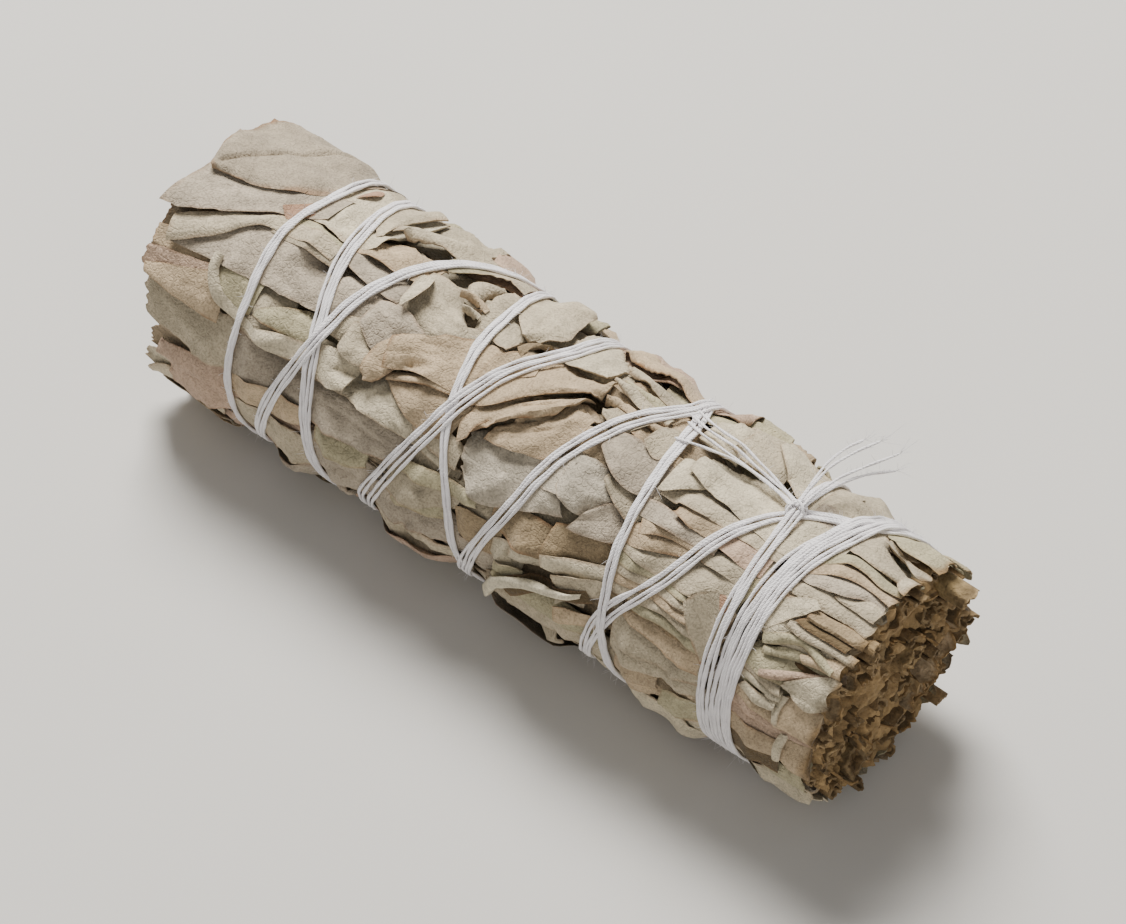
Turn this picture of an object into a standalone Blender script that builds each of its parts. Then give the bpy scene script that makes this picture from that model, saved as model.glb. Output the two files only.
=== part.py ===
# White sage smudge bundle.
# Cut sage sprigs, rolled tight and tied with one length of white cotton.
# Frame: metres, +Z up, +X to the cut stalks, origin on the surface under the middle.
# Inside this script sizes are millimetres and angles degrees. A point of the bundle is given by x along it,
# an angle around its axis (0 at +Y, 90 at the top) and a radius from the axis.

import bpy
import math
import random

import numpy as np

MM = 0.001

# Driving dimensions
AXIS_HEIGHT = 15.8
PROFILE_X = (-52.0, -30.0, 0.0, 30.0, 52.0)
PROFILE_RADIUS = (17.5, 17.2, 16.5, 16.9, 16.1)
TIP_END_X = -52.0
STALK_END_X = 52.5
CORE_START_X = -46.0
CORE_END_X = 48.5
CORE_DEPTH = 2.3
INNER_RADIUS = 12.6
CENTRE_RADIUS = 4.9
GAP = 0.35
SPRIG_GAP = 0.6
BLADE = 0.8
OUTSIDE = 21.5
KEPT_FACES = 0.5

# Stalks: one in the middle and two rings round it
STALK_START_X = 6.0
STALK_RADIUS = 2.15
STALK_RINGS = ((1, 0.0, 0.0), (6, 4.9, 8.0), (12, 9.75, 20.0))
STALK_SIDES = 8

# Thread: four strands side by side make one flat band
THREAD_THICKNESS = 0.7
THREAD_DEPTH = 0.6
STRAND_WIDTH = 0.6
STRAND_SIDES = 5
THREAD_STEP = 20.0
FLOOR_CLEARANCE = 0.55
LIFT_PER_TURN = 0.09

# The winding, pass by pass: band width, then (angle, x) down the front of the bundle.
# The thread goes on round the back from the end of one pass to the start of the next.
PASSES = (
    (1.6, ((82, 34.6), (105, 35.2), (135, 35.7), (165, 36.1), (195, 36.6))),
    (1.2, ((45, 40.9), (75, 39.5), (105, 37.9), (135, 37.5), (165, 37.9), (195, 38.4))),
    (1.2, ((45, 42.5), (75, 41.1), (105, 39.5), (135, 39.1), (165, 39.5), (195, 40.0))),
    (1.6, ((45, 43.6), (62, 41.3), (83, 34.6), (105, 30.7), (135, 27.1), (165, 22.0), (195, 19.2))),
    (1.9, ((45, 15.8), (60, 15.6), (90, 11.8), (120, 8.3), (150, 5.8), (195, 0.8))),
    (2.2, ((45, 0.6), (75, 0.0), (105, -3.9), (135, -7.0), (165, -10.6), (195, -14.5))),
    (1.6, ((45, -15.0), (75, -19.9), (105, -23.6), (135, -25.6), (165, -28.5), (195, -31.2))),
    (1.2, ((45, -37.0), (75, -36.2), (105, -37.0), (135, -36.0), (165, -35.6), (195, -34.8))),
    (1.9, ((45, -31.8), (75, -30.3), (105, -28.5), (132, -25.8), (165, -23.6), (195, -22.4))),
    (1.3, ((45, -10.5), (75, -9.0), (105, -7.9), (135, -5.5), (165, -1.9), (195, -0.4))),
    (1.3, ((45, 15.0), (75, 18.0), (105, 19.2), (135, 20.2), (165, 21.6), (195, 22.5))),
    (1.3, ((45, 33.2), (62, 33.7), (82, 34.4))),
)
# The knot and the tails. A lying tail is given by (x, angle), and a standing one by (x, y, z).
KNOT = (34.4, 82.0)
KNOT_HALF_SIZE = (1.5, 1.2, 0.8)
KNOT_RISE = 0.45
KNOT_ROOM = (2.4, 9.0)
TAIL_RISE = 0.1
LYING_TAILS = (
    ((33.8, 80), (30.0, 76), (25.0, 73), (20.0, 70), (16.5, 65)),
    ((33.8, 81), (30.0, 78), (25.0, 76), (20.0, 74), (16.8, 70)),
)
STANDING_TAILS = (
    ((34.0, 2.4, 32.6), (33.6, 6.5, 33.4), (34.0, 10.5, 33.9), (34.4, 14.4, 33.9)),
    ((34.3, 2.4, 32.7), (34.3, 6.5, 33.6), (35.2, 10.5, 34.3), (36.2, 15.0, 34.4)),
    ((34.8, 2.4, 32.6), (35.2, 6.5, 33.0), (36.8, 10.5, 33.3), (38.6, 15.4, 33.2)),
    ((34.9, 2.4, 32.4), (35.6, 6.5, 32.5), (37.3, 10.5, 32.3), (39.4, 14.2, 31.7)),
)

# Edges between the outer sprigs: (x, angle) along each, in order round the bundle
SPRIG_EDGES = (
    ((-54, 26), (-36, 30), (-25, 44), (-12, 40), (0, 46), (20, 50), (40, 44), (54, 42)),
    ((-54, 124), (-46, 112), (-38, 99), (-28, 99), (-20, 111), (-12, 99), (0, 91), (10, 95), (54, 97)),
    ((-54, 146), (-30, 144), (-20, 150), (-3, 151), (8, 148), (14, 137), (36, 127), (54, 132)),
    ((-54, 190), (-30, 186), (0, 178), (30, 183), (54, 186)),
    ((-54, 238), (-20, 243), (15, 236), (54, 241)),
    ((-54, 302), (-20, 297), (15, 303), (54, 299)),
    ((-54, 345), (-20, 352), (15, 342), (54, 348)),
)

# The large leaves that show: stem end (x, angle), tip (x, angle), width, level.
# Level 3 lies outermost, level 0 deepest.
SHOWN_LEAVES = (
    ((-40, 36), (-48, 100), 12.5, 3),
    ((-37, 88), (-52, 120), 6.5, 3),
    ((-29, 99), (-50, 129), 4.5, 2),
    ((-23, 105), (-48, 122), 8.0, 1),
    ((-26, 130), (-36, 139), 4.5, 2),
    ((-26, 136), (-35, 145), 4.5, 1),
    ((-40, 133), (-52, 140), 5.0, 3),
    ((-36, 152), (-51, 160), 7.5, 2),
    ((-36, 170), (-49, 181), 6.5, 3),
    ((-7, 158), (-37, 165), 9.0, 2),
    ((-2, 136), (-25, 146), 5.5, 3),
    ((-3, 104), (-18, 130), 8.5, 3),
    ((-10, 80), (-20, 109), 6.5, 2),
    ((-14, 54), (-30, 80), 6.0, 2),
    ((-1, 48), (-10, 76), 8.0, 3),
    ((3, 56), (0, 84), 5.5, 2),
    ((6, 92), (-5, 127), 5.0, 2),
    ((9, 96), (0, 124), 6.0, 3),
    ((9, 128), (-4, 148), 7.5, 2),
    ((17, 108), (8, 133), 5.5, 2),
    ((20, 99), (9, 111), 6.5, 3),
    ((21, 120), (12, 135), 5.0, 3),
    ((21, 141), (5, 156), 6.0, 2),
    ((21, 150), (11, 173), 5.0, 3),
    ((14, 166), (0, 200), 2.0, 3),
    ((37, 83), (21, 92), 6.5, 3),
    ((37, 101), (20, 105), 4.0, 2),
    ((36, 62), (20, 72), 5.5, 2),
    ((29, 116), (19, 130), 5.0, 2),
    ((36, 130), (30, 158), 6.0, 3),
    ((36, 141), (20, 151), 4.0, 2),
    ((37, 154), (19, 164), 4.0, 3),
    ((40, 130), (45, 110), 4.0, 3),
)

# Leaves that the bundle lies on
RESTING_LEAVES = (
    ((-13, 274), (-33, 268), 11.0, 3),
    ((9, 266), (-12, 272), 12.0, 3),
    ((31, 274), (9, 268), 11.0, 3),
)

# Leaves on the sides that the photograph doesn't show, placed by a rule
HIDDEN_SPAN = (196.0, 388.0)
HIDDEN_ROWS = (-34.0, -14.0, 6.0, 26.0)
HIDDEN_PER_ROW = 6
HIDDEN_LENGTH = (20.0, 26.0)
HIDDEN_WIDTH = (10.0, 13.0)

# Leaf stems that run out lengthwise between the last pass and the cut
RIDGE_COUNT = 18
RIDGE_WIDTH = 4.0
RIDGE_START_X = 37.5

# Leaf tips round the hidden sides of the leafy end
TIP_COUNT = 8
TIP_WIDTH = 8.5
TIP_STEM_X = -37.0

# A leaf's form: how deep each level lies, how far its sides fold down, how far its stem end sinks
# and how far its solid reaches into the core
LEVEL_DEPTH = (1.5, 1.0, 0.5, 0.0)
LEAF_FOLD = 0.28
STEM_SINK = 0.35
ROOT_DEPTH = 0.8
FREE_TIP_X = -44.5
LEAF_STATIONS = (0.0, 0.3, 0.65, 0.88, 1.0)
LEAF_HALF_WIDTHS = (0.45, 0.95, 0.95, 0.6, 0.18)

MATERIALS = {
    "leaf": ((0.42, 0.39, 0.31), 0.95),
    "inner_leaf": ((0.36, 0.33, 0.25), 0.95),
    "stalk": ((0.24, 0.15, 0.07), 0.9),
    "thread": ((0.70, 0.68, 0.68), 0.85),
}


def clear_scene():
    for item in list(bpy.data.objects):
        bpy.data.objects.remove(item, do_unlink=True)


def material(name):
    made = bpy.data.materials.get(name)
    if made is None:
        colour, roughness = MATERIALS[name]
        made = bpy.data.materials.new(name)
        made.use_nodes = True
        shader = made.node_tree.nodes["Principled BSDF"]
        shader.inputs["Base Color"].default_value = (*colour, 1.0)
        shader.inputs["Roughness"].default_value = roughness
        shader.inputs["Metallic"].default_value = 0.0
    return made


def outer_radius(x):
    """The bundle's outer radius at x."""
    return np.interp(x, PROFILE_X, PROFILE_RADIUS)


def point(x, angle, radius):
    """World place, in millimetres, of a point of the bundle."""
    turn = np.radians(angle)
    return np.stack(np.broadcast_arrays(x, radius * np.cos(turn), AXIS_HEIGHT + radius * np.sin(turn)), axis=-1)


def mesh_object(name, points, faces, collection=None):
    """An object from points in millimetres; a face may have three or more corners."""
    mesh = bpy.data.meshes.new(name)
    mesh.from_pydata([tuple(float(v) * MM for v in p) for p in points], [], faces)
    mesh.update()
    made = bpy.data.objects.new(name, mesh)
    (collection or bpy.context.scene.collection).objects.link(made)
    return made


def split(a, b, c, d):
    """Two triangles for the four-cornered face a b c d."""
    return [(a, b, c), (a, c, d)]


def loft(name, rings, collection=None):
    """A closed solid through rings of equal point count, with a flat cap on each end."""
    count = len(rings[0])
    faces = []
    for ring in range(len(rings) - 1):
        for side in range(count):
            a = ring * count + side
            b = ring * count + (side + 1) % count
            faces += split(a, b, b + count, a + count)
    last = (len(rings) - 1) * count
    faces.append(tuple(range(count - 1, -1, -1)))
    faces.append(tuple(range(last, last + count)))
    return mesh_object(name, np.concatenate(rings), faces, collection)


def blade(name, stem, tip, width, top, bottom, collection):
    """One leaf as a closed solid. Its outline runs from stem to tip, as wide as LEAF_HALF_WIDTHS says.
    top and bottom give the radius of its two faces from x, the share of its length and the share across."""
    stem_x, stem_angle = stem
    tip_x, tip_angle = tip
    middle_radius = float(top((stem_x + tip_x) / 2, 0.5, 0.0))
    arc = math.radians(tip_angle - stem_angle) * middle_radius
    length = math.hypot(tip_x - stem_x, arc)
    along = np.array(((tip_x - stem_x) / length, arc / length))
    across = np.array((-along[1], along[0]))
    grid = []
    for face in (top, bottom):
        for share, half in zip(LEAF_STATIONS, LEAF_HALF_WIDTHS):
            for side in (-1.0, 0.0, 1.0):
                flat = along * share * length + across * side * half * width / 2
                x = float(np.clip(stem_x + flat[0], TIP_END_X, STALK_END_X))
                angle = stem_angle + math.degrees(flat[1] / middle_radius)
                grid.append(point(x, angle, float(face(x, share, side))))
    rows = len(LEAF_STATIONS)
    under = rows * 3
    faces = []
    for row in range(rows - 1):
        for column in range(2):
            a = row * 3 + column
            faces += split(a, a + 1, a + 4, a + 3)
            faces += [tuple(under + v for v in reversed(f)) for f in split(a, a + 1, a + 4, a + 3)]
    rim = [0, 1] + [row * 3 + 2 for row in range(rows)] + [rows * 3 - 2] + [row * 3 for row in range(rows - 1, 0, -1)]
    for a, b in zip(rim, rim[1:] + rim[:1]):
        faces += split(b, a, under + a, under + b)
    made = mesh_object(name, grid, faces, collection)
    face_out(made)
    return made


def face_out(item):
    """Turns the faces round if the solid is inside out."""
    mesh = item.data
    mesh.calc_loop_triangles()
    volume = 0.0
    for triangle in mesh.loop_triangles:
        a, b, c = (mesh.vertices[v].co for v in triangle.vertices)
        volume += a.dot(b.cross(c))
    if volume < 0:
        mesh.flip_normals()


def wedge(name, xs, low, high, inner, outer, steps, collection=None):
    """A solid between two edges and two radii. low and high give an angle from x,
    inner gives a radius from x, and outer one from x and an angle."""
    rings = []
    for x in xs:
        angles = np.linspace(low(x), high(x), steps + 1)
        far = [point(x, a, outer(x, a)) for a in angles]
        near = [point(x, a, inner(x)) for a in angles[::-1]]
        rings.append(np.array(far + near))
    made = loft(name, rings, collection)
    face_out(made)
    return made


def combine(target, operation, parts):
    """Joins parts to the target, cuts them out of it or keeps what lies in them, and removes them."""
    group = bpy.data.collections.new("operands")
    for item in parts:
        for owner in list(item.users_collection):
            owner.objects.unlink(item)
        group.objects.link(item)
    change = target.modifiers.new("combine", "BOOLEAN")
    change.operation = operation
    change.solver = "MANIFOLD"
    change.operand_type = "COLLECTION"
    change.collection = group
    shown = target.evaluated_get(bpy.context.evaluated_depsgraph_get())
    mesh = bpy.data.meshes.new_from_object(shown)
    target.modifiers.clear()
    target.data = mesh
    for item in parts:
        bpy.data.objects.remove(item, do_unlink=True)
    bpy.data.collections.remove(group)


def keep_largest(item):
    """Drops loose scraps that a cut left, and keeps the body with the most points."""
    mesh = item.data
    parent = list(range(len(mesh.vertices)))

    def root(v):
        while parent[v] != v:
            parent[v] = parent[parent[v]]
            v = parent[v]
        return v

    for edge in mesh.edges:
        a, b = (root(v) for v in edge.vertices)
        parent[a] = b
    bodies = {}
    for v in range(len(mesh.vertices)):
        bodies.setdefault(root(v), []).append(v)
    best = max(bodies.values(), key=len)
    keep = {v: i for i, v in enumerate(best)}
    points = [mesh.vertices[v].co / MM for v in best]
    faces = [tuple(keep[v] for v in f.vertices) for f in mesh.polygons if f.vertices[0] in keep]
    made = mesh_object(item.name + "_kept", points, faces)
    item.data = made.data
    bpy.data.objects.remove(made, do_unlink=True)


def thin_out(item, share):
    """Drops the needless small faces that cutting left, down to a share of them, without changing the shape."""
    thinner = item.modifiers.new("thin_out", "DECIMATE")
    thinner.ratio = share
    shown = item.evaluated_get(bpy.context.evaluated_depsgraph_get())
    mesh = bpy.data.meshes.new_from_object(shown)
    item.modifiers.clear()
    item.data = mesh


def finish(item, name, look):
    item.name = name
    item.data.name = name
    item.data.materials.clear()
    item.data.materials.append(material(look))


# The thread's route

def winding():
    """The whole route as three rows: the turn so far, x and the band's width, all against each other."""
    turns, places, widths = [], [], []
    for index, (width, passage) in enumerate(PASSES):
        for angle, x in passage:
            turns.append(angle + 360.0 * index)
            places.append(x)
            widths.append(width)
    return np.array(turns), np.array(places), np.array(widths)


def smooth_through(at, turns, places):
    """A smooth curve through hand-placed points, with each point's slope read from its neighbours."""
    slopes = np.gradient(places, turns)
    index = np.clip(np.searchsorted(turns, at) - 1, 0, len(turns) - 2)
    span = turns[index + 1] - turns[index]
    s = (at - turns[index]) / span
    start, end = places[index], places[index + 1]
    return (
        (2 * s**3 - 3 * s**2 + 1) * start
        + (s**3 - 2 * s**2 + s) * span * slopes[index]
        + (3 * s**2 - 2 * s**3) * end
        + (s**3 - s**2) * span * slopes[index + 1]
    )


def thread_radius(x, angle):
    """The band's middle radius: sunk into the leaves, and never below the surface that the bundle lies on."""
    radius = outer_radius(x) - THREAD_DEPTH
    down = -np.sin(np.radians(angle))
    limit = (AXIS_HEIGHT - THREAD_THICKNESS / 2 - FLOOR_CLEARANCE) / np.maximum(down, 0.05)
    return np.where(down > 0.05, np.minimum(radius, limit), radius)


def band(name, angles, xs, widths, below, above, collection):
    """A flat band along the route. below and above are its reach inwards and outwards from the middle radius."""
    radii = thread_radius(xs, angles)
    slope = np.gradient(xs, np.radians(angles)) / radii
    rings = []
    for angle, x, radius, width, lean in zip(angles, xs, radii, widths, slope):
        tilt = math.atan(lean)
        half = width / 2
        ring = []
        for side, reach in ((-1, -below), (1, -below), (1, above), (-1, above)):
            shift = side * half
            turn = angle - math.degrees(shift * math.sin(tilt) / radius)
            ring.append(point(x + shift * math.cos(tilt), turn, radius + reach))
        rings.append(np.array(ring))
    made = loft(name, rings, collection)
    face_out(made)
    return made


def route_lengths(collection, name, extra_width, below, above, overlap):
    """The winding cut into one solid for each turn, so that no solid crosses itself."""
    turns, places, widths = winding()
    start, end = turns[0], turns[-1]
    made = []
    first = start
    while first < end - 1.0:
        last = min(first + 360.0, end)
        count = max(2, round((last - first) / THREAD_STEP))
        angles = np.linspace(first, last, count + 1)
        if last < end:
            angles = np.append(angles, last + overlap)
        xs = smooth_through(angles, turns, places)
        band_widths = np.interp(angles, turns, widths) + extra_width
        lift = LIFT_PER_TURN * (len(made) % 3)
        made.append(band(name, angles, xs, band_widths, below - lift, above + lift, collection))
        first = last
    return made


def strand(name, path, radius, collection):
    """A thin round strand through points in millimetres."""
    path = np.array(path, dtype=float)
    tangents = np.gradient(path, axis=0)
    rings = []
    for spot, tangent in zip(path, tangents):
        tangent = tangent / np.linalg.norm(tangent)
        side = np.cross(tangent, (0.0, 0.0, 1.0))
        side /= np.linalg.norm(side)
        up = np.cross(side, tangent)
        ring = []
        for corner in range(STRAND_SIDES):
            turn = math.tau * corner / STRAND_SIDES
            ring.append(spot + radius * (math.cos(turn) * side + math.sin(turn) * up))
        rings.append(np.array(ring))
    made = loft(name, rings, collection)
    face_out(made)
    return made


def lying_path(path, rise):
    """Places in millimetres along a tail that lies on the bundle, a little above the thread's middle."""
    return [point(x, angle, float(thread_radius(x, angle)) + rise) for x, angle in path]


def make_knot(collection):
    """A squashed ball of thread where the winding starts and ends."""
    x, angle = KNOT
    centre = point(x, angle, float(thread_radius(x, angle)) + KNOT_RISE)
    long_half, wide_half, high_half = KNOT_HALF_SIZE
    sides = 8
    rings = []
    for share in (-1.0, -0.55, 0.0, 0.55, 1.0):
        size = math.sqrt(1.1 - share * share)
        ring = []
        for corner in range(sides):
            turn = math.tau * corner / sides
            away = (share * long_half, size * wide_half * math.cos(turn), size * high_half * math.sin(turn))
            ring.append(centre + away)
        rings.append(np.array(ring))
    knot = loft("knot", rings, collection)
    face_out(knot)
    return knot


def make_thread():
    scene_objects = bpy.context.scene.collection
    lengths = route_lengths(scene_objects, "thread", 0.0, THREAD_THICKNESS / 2, THREAD_THICKNESS / 2, 5.0)
    tails = [strand("tail", lying_path(path, TAIL_RISE), STRAND_WIDTH / 2, scene_objects) for path in LYING_TAILS]
    tails += [strand("tail", path, STRAND_WIDTH / 2, scene_objects) for path in STANDING_TAILS]
    combine(lengths[0], "UNION", lengths[1:] + [make_knot(scene_objects)] + tails)
    keep_largest(lengths[0])
    thin_out(lengths[0], KEPT_FACES)
    finish(lengths[0], "thread", "thread")


def thread_room():
    """Solids that clear the leaves out of the thread's way."""
    scene_objects = bpy.context.scene.collection
    reach = THREAD_THICKNESS / 2 + GAP
    rooms = route_lengths(scene_objects, "room", 2 * GAP, reach, OUTSIDE - PROFILE_RADIUS[0], 4.0)
    for path in LYING_TAILS:
        rooms.append(strand("room", lying_path(path, GAP), STRAND_WIDTH / 2 + 2 * GAP, scene_objects))
    x, angle = KNOT
    half_length, half_angle = KNOT_ROOM
    floor = float(thread_radius(x, angle)) + KNOT_RISE - KNOT_HALF_SIZE[2] * 1.1 - GAP
    rooms.append(wedge("room", (x - half_length, x + half_length), lambda _: angle - half_angle,
                       lambda _: angle + half_angle, lambda _: floor, lambda _, __: OUTSIDE, 2, scene_objects))
    return rooms


# The leaves

def edge_angle(index, x):
    """The angle of an edge between two sprigs, at x. The last edge leads on to the first, a turn later."""
    turns, edge = divmod(index, len(SPRIG_EDGES))
    xs, angles = zip(*SPRIG_EDGES[edge])
    return float(np.interp(x, xs, angles)) + 360.0 * turns


def sprig_of(x, angle):
    """The number of the outer sprig whose span holds a place."""
    count = len(SPRIG_EDGES)
    for index in range(count):
        low, high = edge_angle(index, x), edge_angle(index + 1, x)
        if low <= angle < high or low <= angle + 360.0 < high or low <= angle - 360.0 < high:
            return index
    return 0


def all_leaves():
    """Every outer leaf: stem end, tip, width and level."""
    chance = random.Random(20)
    leaves = list(SHOWN_LEAVES + RESTING_LEAVES)
    low, high = HIDDEN_SPAN
    for row, x in enumerate(HIDDEN_ROWS):
        for step in range(HIDDEN_PER_ROW):
            angle = low + (high - low) * (step + 0.5 * (row % 2) + chance.uniform(0.1, 0.5)) / HIDDEN_PER_ROW
            length = chance.uniform(*HIDDEN_LENGTH)
            stem = (x + length * 0.5, angle - chance.uniform(-8, 16))
            tip = (x - length * 0.5, angle + chance.uniform(-4, 16))
            leaves.append((stem, tip, chance.uniform(*HIDDEN_WIDTH), 1 + (step + row) % 3))
    for step in range(RIDGE_COUNT):
        angle = 360.0 * (step + chance.uniform(-0.15, 0.15)) / RIDGE_COUNT
        stem = (STALK_END_X - chance.uniform(0.6, 2.2), angle)
        tip = (RIDGE_START_X - chance.uniform(0.0, 3.0), angle + chance.uniform(-4, 8))
        leaves.append((stem, tip, RIDGE_WIDTH + chance.uniform(-0.5, 1.2), 1 + step % 3))
    for step in range(TIP_COUNT):
        angle = low + (high - low) * step / TIP_COUNT + chance.uniform(-4, 4)
        tip = (TIP_END_X + chance.uniform(0.0, 2.5), angle + 6)
        leaves.append(((TIP_STEM_X, angle), tip, TIP_WIDTH, 1 + step % 3))
    return leaves


def outer_leaf(name, leaf, collection):
    """A leaf pressed onto its sprig's core, with its middle folded a little and its free end thin."""
    stem, tip, width, level = leaf
    depth = LEVEL_DEPTH[level]

    def top(x, share, side):
        fold = LEAF_FOLD * abs(side) * math.sin(math.pi * share)
        return outer_radius(x) - depth - fold - STEM_SINK * (1.0 - share) ** 2

    def bottom(x, share, side):
        if x > FREE_TIP_X:
            return outer_radius(x) - CORE_DEPTH - ROOT_DEPTH
        return top(x, share, side) - BLADE

    return blade(name, stem, tip, width, top, bottom, collection)


def flat_cut():
    """Everything above the surface that the bundle lies on. It leaves the bundle a flat place to rest on."""
    half, top = 80.0, 60.0
    corners = [(-half, -half), (half, -half), (half, half), (-half, half)]
    rings = [np.array([(x, y, z) for x, y in corners]) for z in (0.0, top)]
    made = loft("above", rings)
    face_out(made)
    return made


def make_outer_sprigs():
    scene_objects = bpy.context.scene.collection
    count = len(SPRIG_EDGES)
    owned = [[] for _ in range(count)]
    for leaf in all_leaves():
        (stem_x, stem_angle), (tip_x, tip_angle), width, level = leaf
        owned[sprig_of((stem_x + tip_x) / 2, (stem_angle + tip_angle) / 2)].append(leaf)
    stations = np.linspace(TIP_END_X - 1.0, STALK_END_X + 1.0, 24)
    core_stations = np.linspace(CORE_START_X, CORE_END_X, 12)
    half_gap = math.degrees(SPRIG_GAP / 2 / 14.5)

    for index in range(count):
        low = lambda x, i=index: edge_angle(i, x) + half_gap
        high = lambda x, i=index: edge_angle(i + 1, x) - half_gap
        core = wedge("core", core_stations, lambda x: low(x) - 1.5, lambda x: high(x) + 1.5,
                     lambda x: INNER_RADIUS - 0.4, lambda x, a: float(outer_radius(x)) - CORE_DEPTH, 4, scene_objects)
        leaves = [outer_leaf("leaf", leaf, scene_objects) for leaf in owned[index]]
        combine(core, "UNION", leaves)
        span = wedge("span", stations, low, high, lambda x: INNER_RADIUS, lambda x, a: OUTSIDE, 6, scene_objects)
        combine(core, "INTERSECT", [span])
        combine(core, "DIFFERENCE", thread_room())
        keep_largest(core)
        thin_out(core, KEPT_FACES)
        combine(core, "INTERSECT", [flat_cut()])
        keep_largest(core)
        finish(core, f"outer_sprig_{index + 1:02d}", "leaf")


def make_inner_sprigs():
    """The inner sprigs fill the leafy half, one in the middle and five round it."""
    scene_objects = bpy.context.scene.collection
    chance = random.Random(7)
    outermost = INNER_RADIUS - GAP
    end_x = STALK_START_X - GAP
    xs = np.linspace(CORE_START_X, end_x, 4)
    centre = wedge("core", xs, lambda x: 0.0, lambda x: 300.0, lambda x: 0.9, lambda x, a: CENTRE_RADIUS - 1.2, 6,
                   scene_objects)
    spans = [(centre, 0.0, 360.0, (1.9, 3.6), 3)]
    for step in range(5):
        low = 72.0 * step + 10.0
        gap_angle = math.degrees(GAP / 8.0)
        core = wedge("core", xs, lambda x, a=low: a + gap_angle, lambda x, a=low: a + 72.0 - gap_angle,
                     lambda x: CENTRE_RADIUS + GAP, lambda x, a: outermost - 0.9, 4, scene_objects)
        spans.append((core, low, low + 72.0, (6.6, 8.9, 11.2), 2))
    for number, (core, low, high, radii, per_radius) in enumerate(spans, start=1):
        leaves = []
        for ring, radius in enumerate(radii):
            for step in range(per_radius):
                share = (step + 0.5) / per_radius
                angle = low + (high - low) * share
                width = math.radians((high - low) / per_radius) * radius * 0.94
                tip_x = TIP_END_X + chance.uniform(0.3, 3.5)
                leaves.append(inner_leaf(angle, tip_x, width, radius, scene_objects))
        combine(core, "UNION", leaves)
        keep_largest(core)
        finish(core, f"inner_sprig_{number:02d}", "inner_leaf")


def inner_leaf(angle, tip_x, width, radius, collection):
    """A leaf tip rolled round the axis, standing out of the packed end."""

    def top(x, share, side):
        return radius + BLADE / 2

    def bottom(x, share, side):
        return radius - BLADE / 2

    return blade("leaf", (CORE_START_X + 3.0, angle), (tip_x, angle), width, top, bottom, collection)


def make_stalks():
    chance = random.Random(11)
    number = 0
    for count, ring_radius, start_angle in STALK_RINGS:
        for step in range(count):
            number += 1
            angle = math.radians(start_angle + 360.0 * step / count)
            centre = (ring_radius * math.cos(angle), AXIS_HEIGHT + ring_radius * math.sin(angle))
            end_x = STALK_END_X - 0.9 - chance.uniform(0.0, 2.6)
            scales = [chance.uniform(0.84, 1.0) for _ in range(STALK_SIDES)]
            slant = (chance.uniform(-0.18, 0.18), chance.uniform(-0.18, 0.18))
            rings = []
            for x, slanted in ((STALK_START_X, 0.0), (34.0, 0.0), (end_x, 1.0)):
                ring = []
                for corner, scale in enumerate(scales):
                    turn = math.tau * corner / STALK_SIDES
                    y = STALK_RADIUS * scale * math.cos(turn)
                    z = STALK_RADIUS * scale * math.sin(turn)
                    ring.append((x + slanted * (slant[0] * y + slant[1] * z), centre[0] + y, centre[1] + z))
                rings.append(np.array(ring))
            stalk = loft("stalk", rings)
            face_out(stalk)
            finish(stalk, f"stalk_{number:02d}", "stalk")


def main():
    clear_scene()
    make_stalks()
    make_inner_sprigs()
    make_outer_sprigs()
    make_thread()


main()
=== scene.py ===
"""White sage smudge bundle: its looks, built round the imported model.

Leaves are laid one after another in a flat stack over (x, angle), each draped over those below it.
The stack is then wrapped round the bundle's axis and pressed in under the thread, so no leaf cuts another.
Lengths are millimetres and angles degrees until a mesh is made. Angle 0 points to +Y and 90 up.
"""

import math

import bpy
import numpy as np
from bpy.props import FloatProperty, FloatVectorProperty, IntProperty, PointerProperty
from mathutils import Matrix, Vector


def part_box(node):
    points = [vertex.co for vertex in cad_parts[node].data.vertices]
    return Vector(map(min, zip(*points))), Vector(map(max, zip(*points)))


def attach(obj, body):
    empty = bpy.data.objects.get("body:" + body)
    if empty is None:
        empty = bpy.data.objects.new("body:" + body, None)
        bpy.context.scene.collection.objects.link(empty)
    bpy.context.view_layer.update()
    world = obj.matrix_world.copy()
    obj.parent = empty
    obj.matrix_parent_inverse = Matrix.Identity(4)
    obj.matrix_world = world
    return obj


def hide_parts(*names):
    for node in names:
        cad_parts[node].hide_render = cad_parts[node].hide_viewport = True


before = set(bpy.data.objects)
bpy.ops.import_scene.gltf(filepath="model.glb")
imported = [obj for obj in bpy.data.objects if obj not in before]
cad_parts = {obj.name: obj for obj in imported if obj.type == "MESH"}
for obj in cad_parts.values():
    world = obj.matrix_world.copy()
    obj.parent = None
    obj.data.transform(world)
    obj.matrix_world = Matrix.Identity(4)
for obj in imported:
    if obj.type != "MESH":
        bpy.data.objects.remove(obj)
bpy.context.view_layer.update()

bl_info = {
    "name": "White sage smudge bundle",
    "version": (1, 0, 0),
    "blender": (4, 5, 0),
    "location": "View3D > Sidebar > Smudge bundle",
    "description": "Builds the leaves, cut stalks, thread and stage of a dried sage bundle",
    "category": "Object",
}

MM = 0.001
IMAGE_WIDTH = 1126

# The bundle's form, as the model has it
AXIS_HEIGHT = 15.8
PROFILE_X = (-52.0, -30.0, 0.0, 30.0, 52.0)
PROFILE_RADIUS = (17.5, 17.2, 16.5, 16.9, 16.1)
INNER_RADIUS = 12.6
THREAD_DEPTH = 0.6
THREAD_THICKNESS = 0.7
FLOOR_CLEARANCE = 0.3

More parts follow.
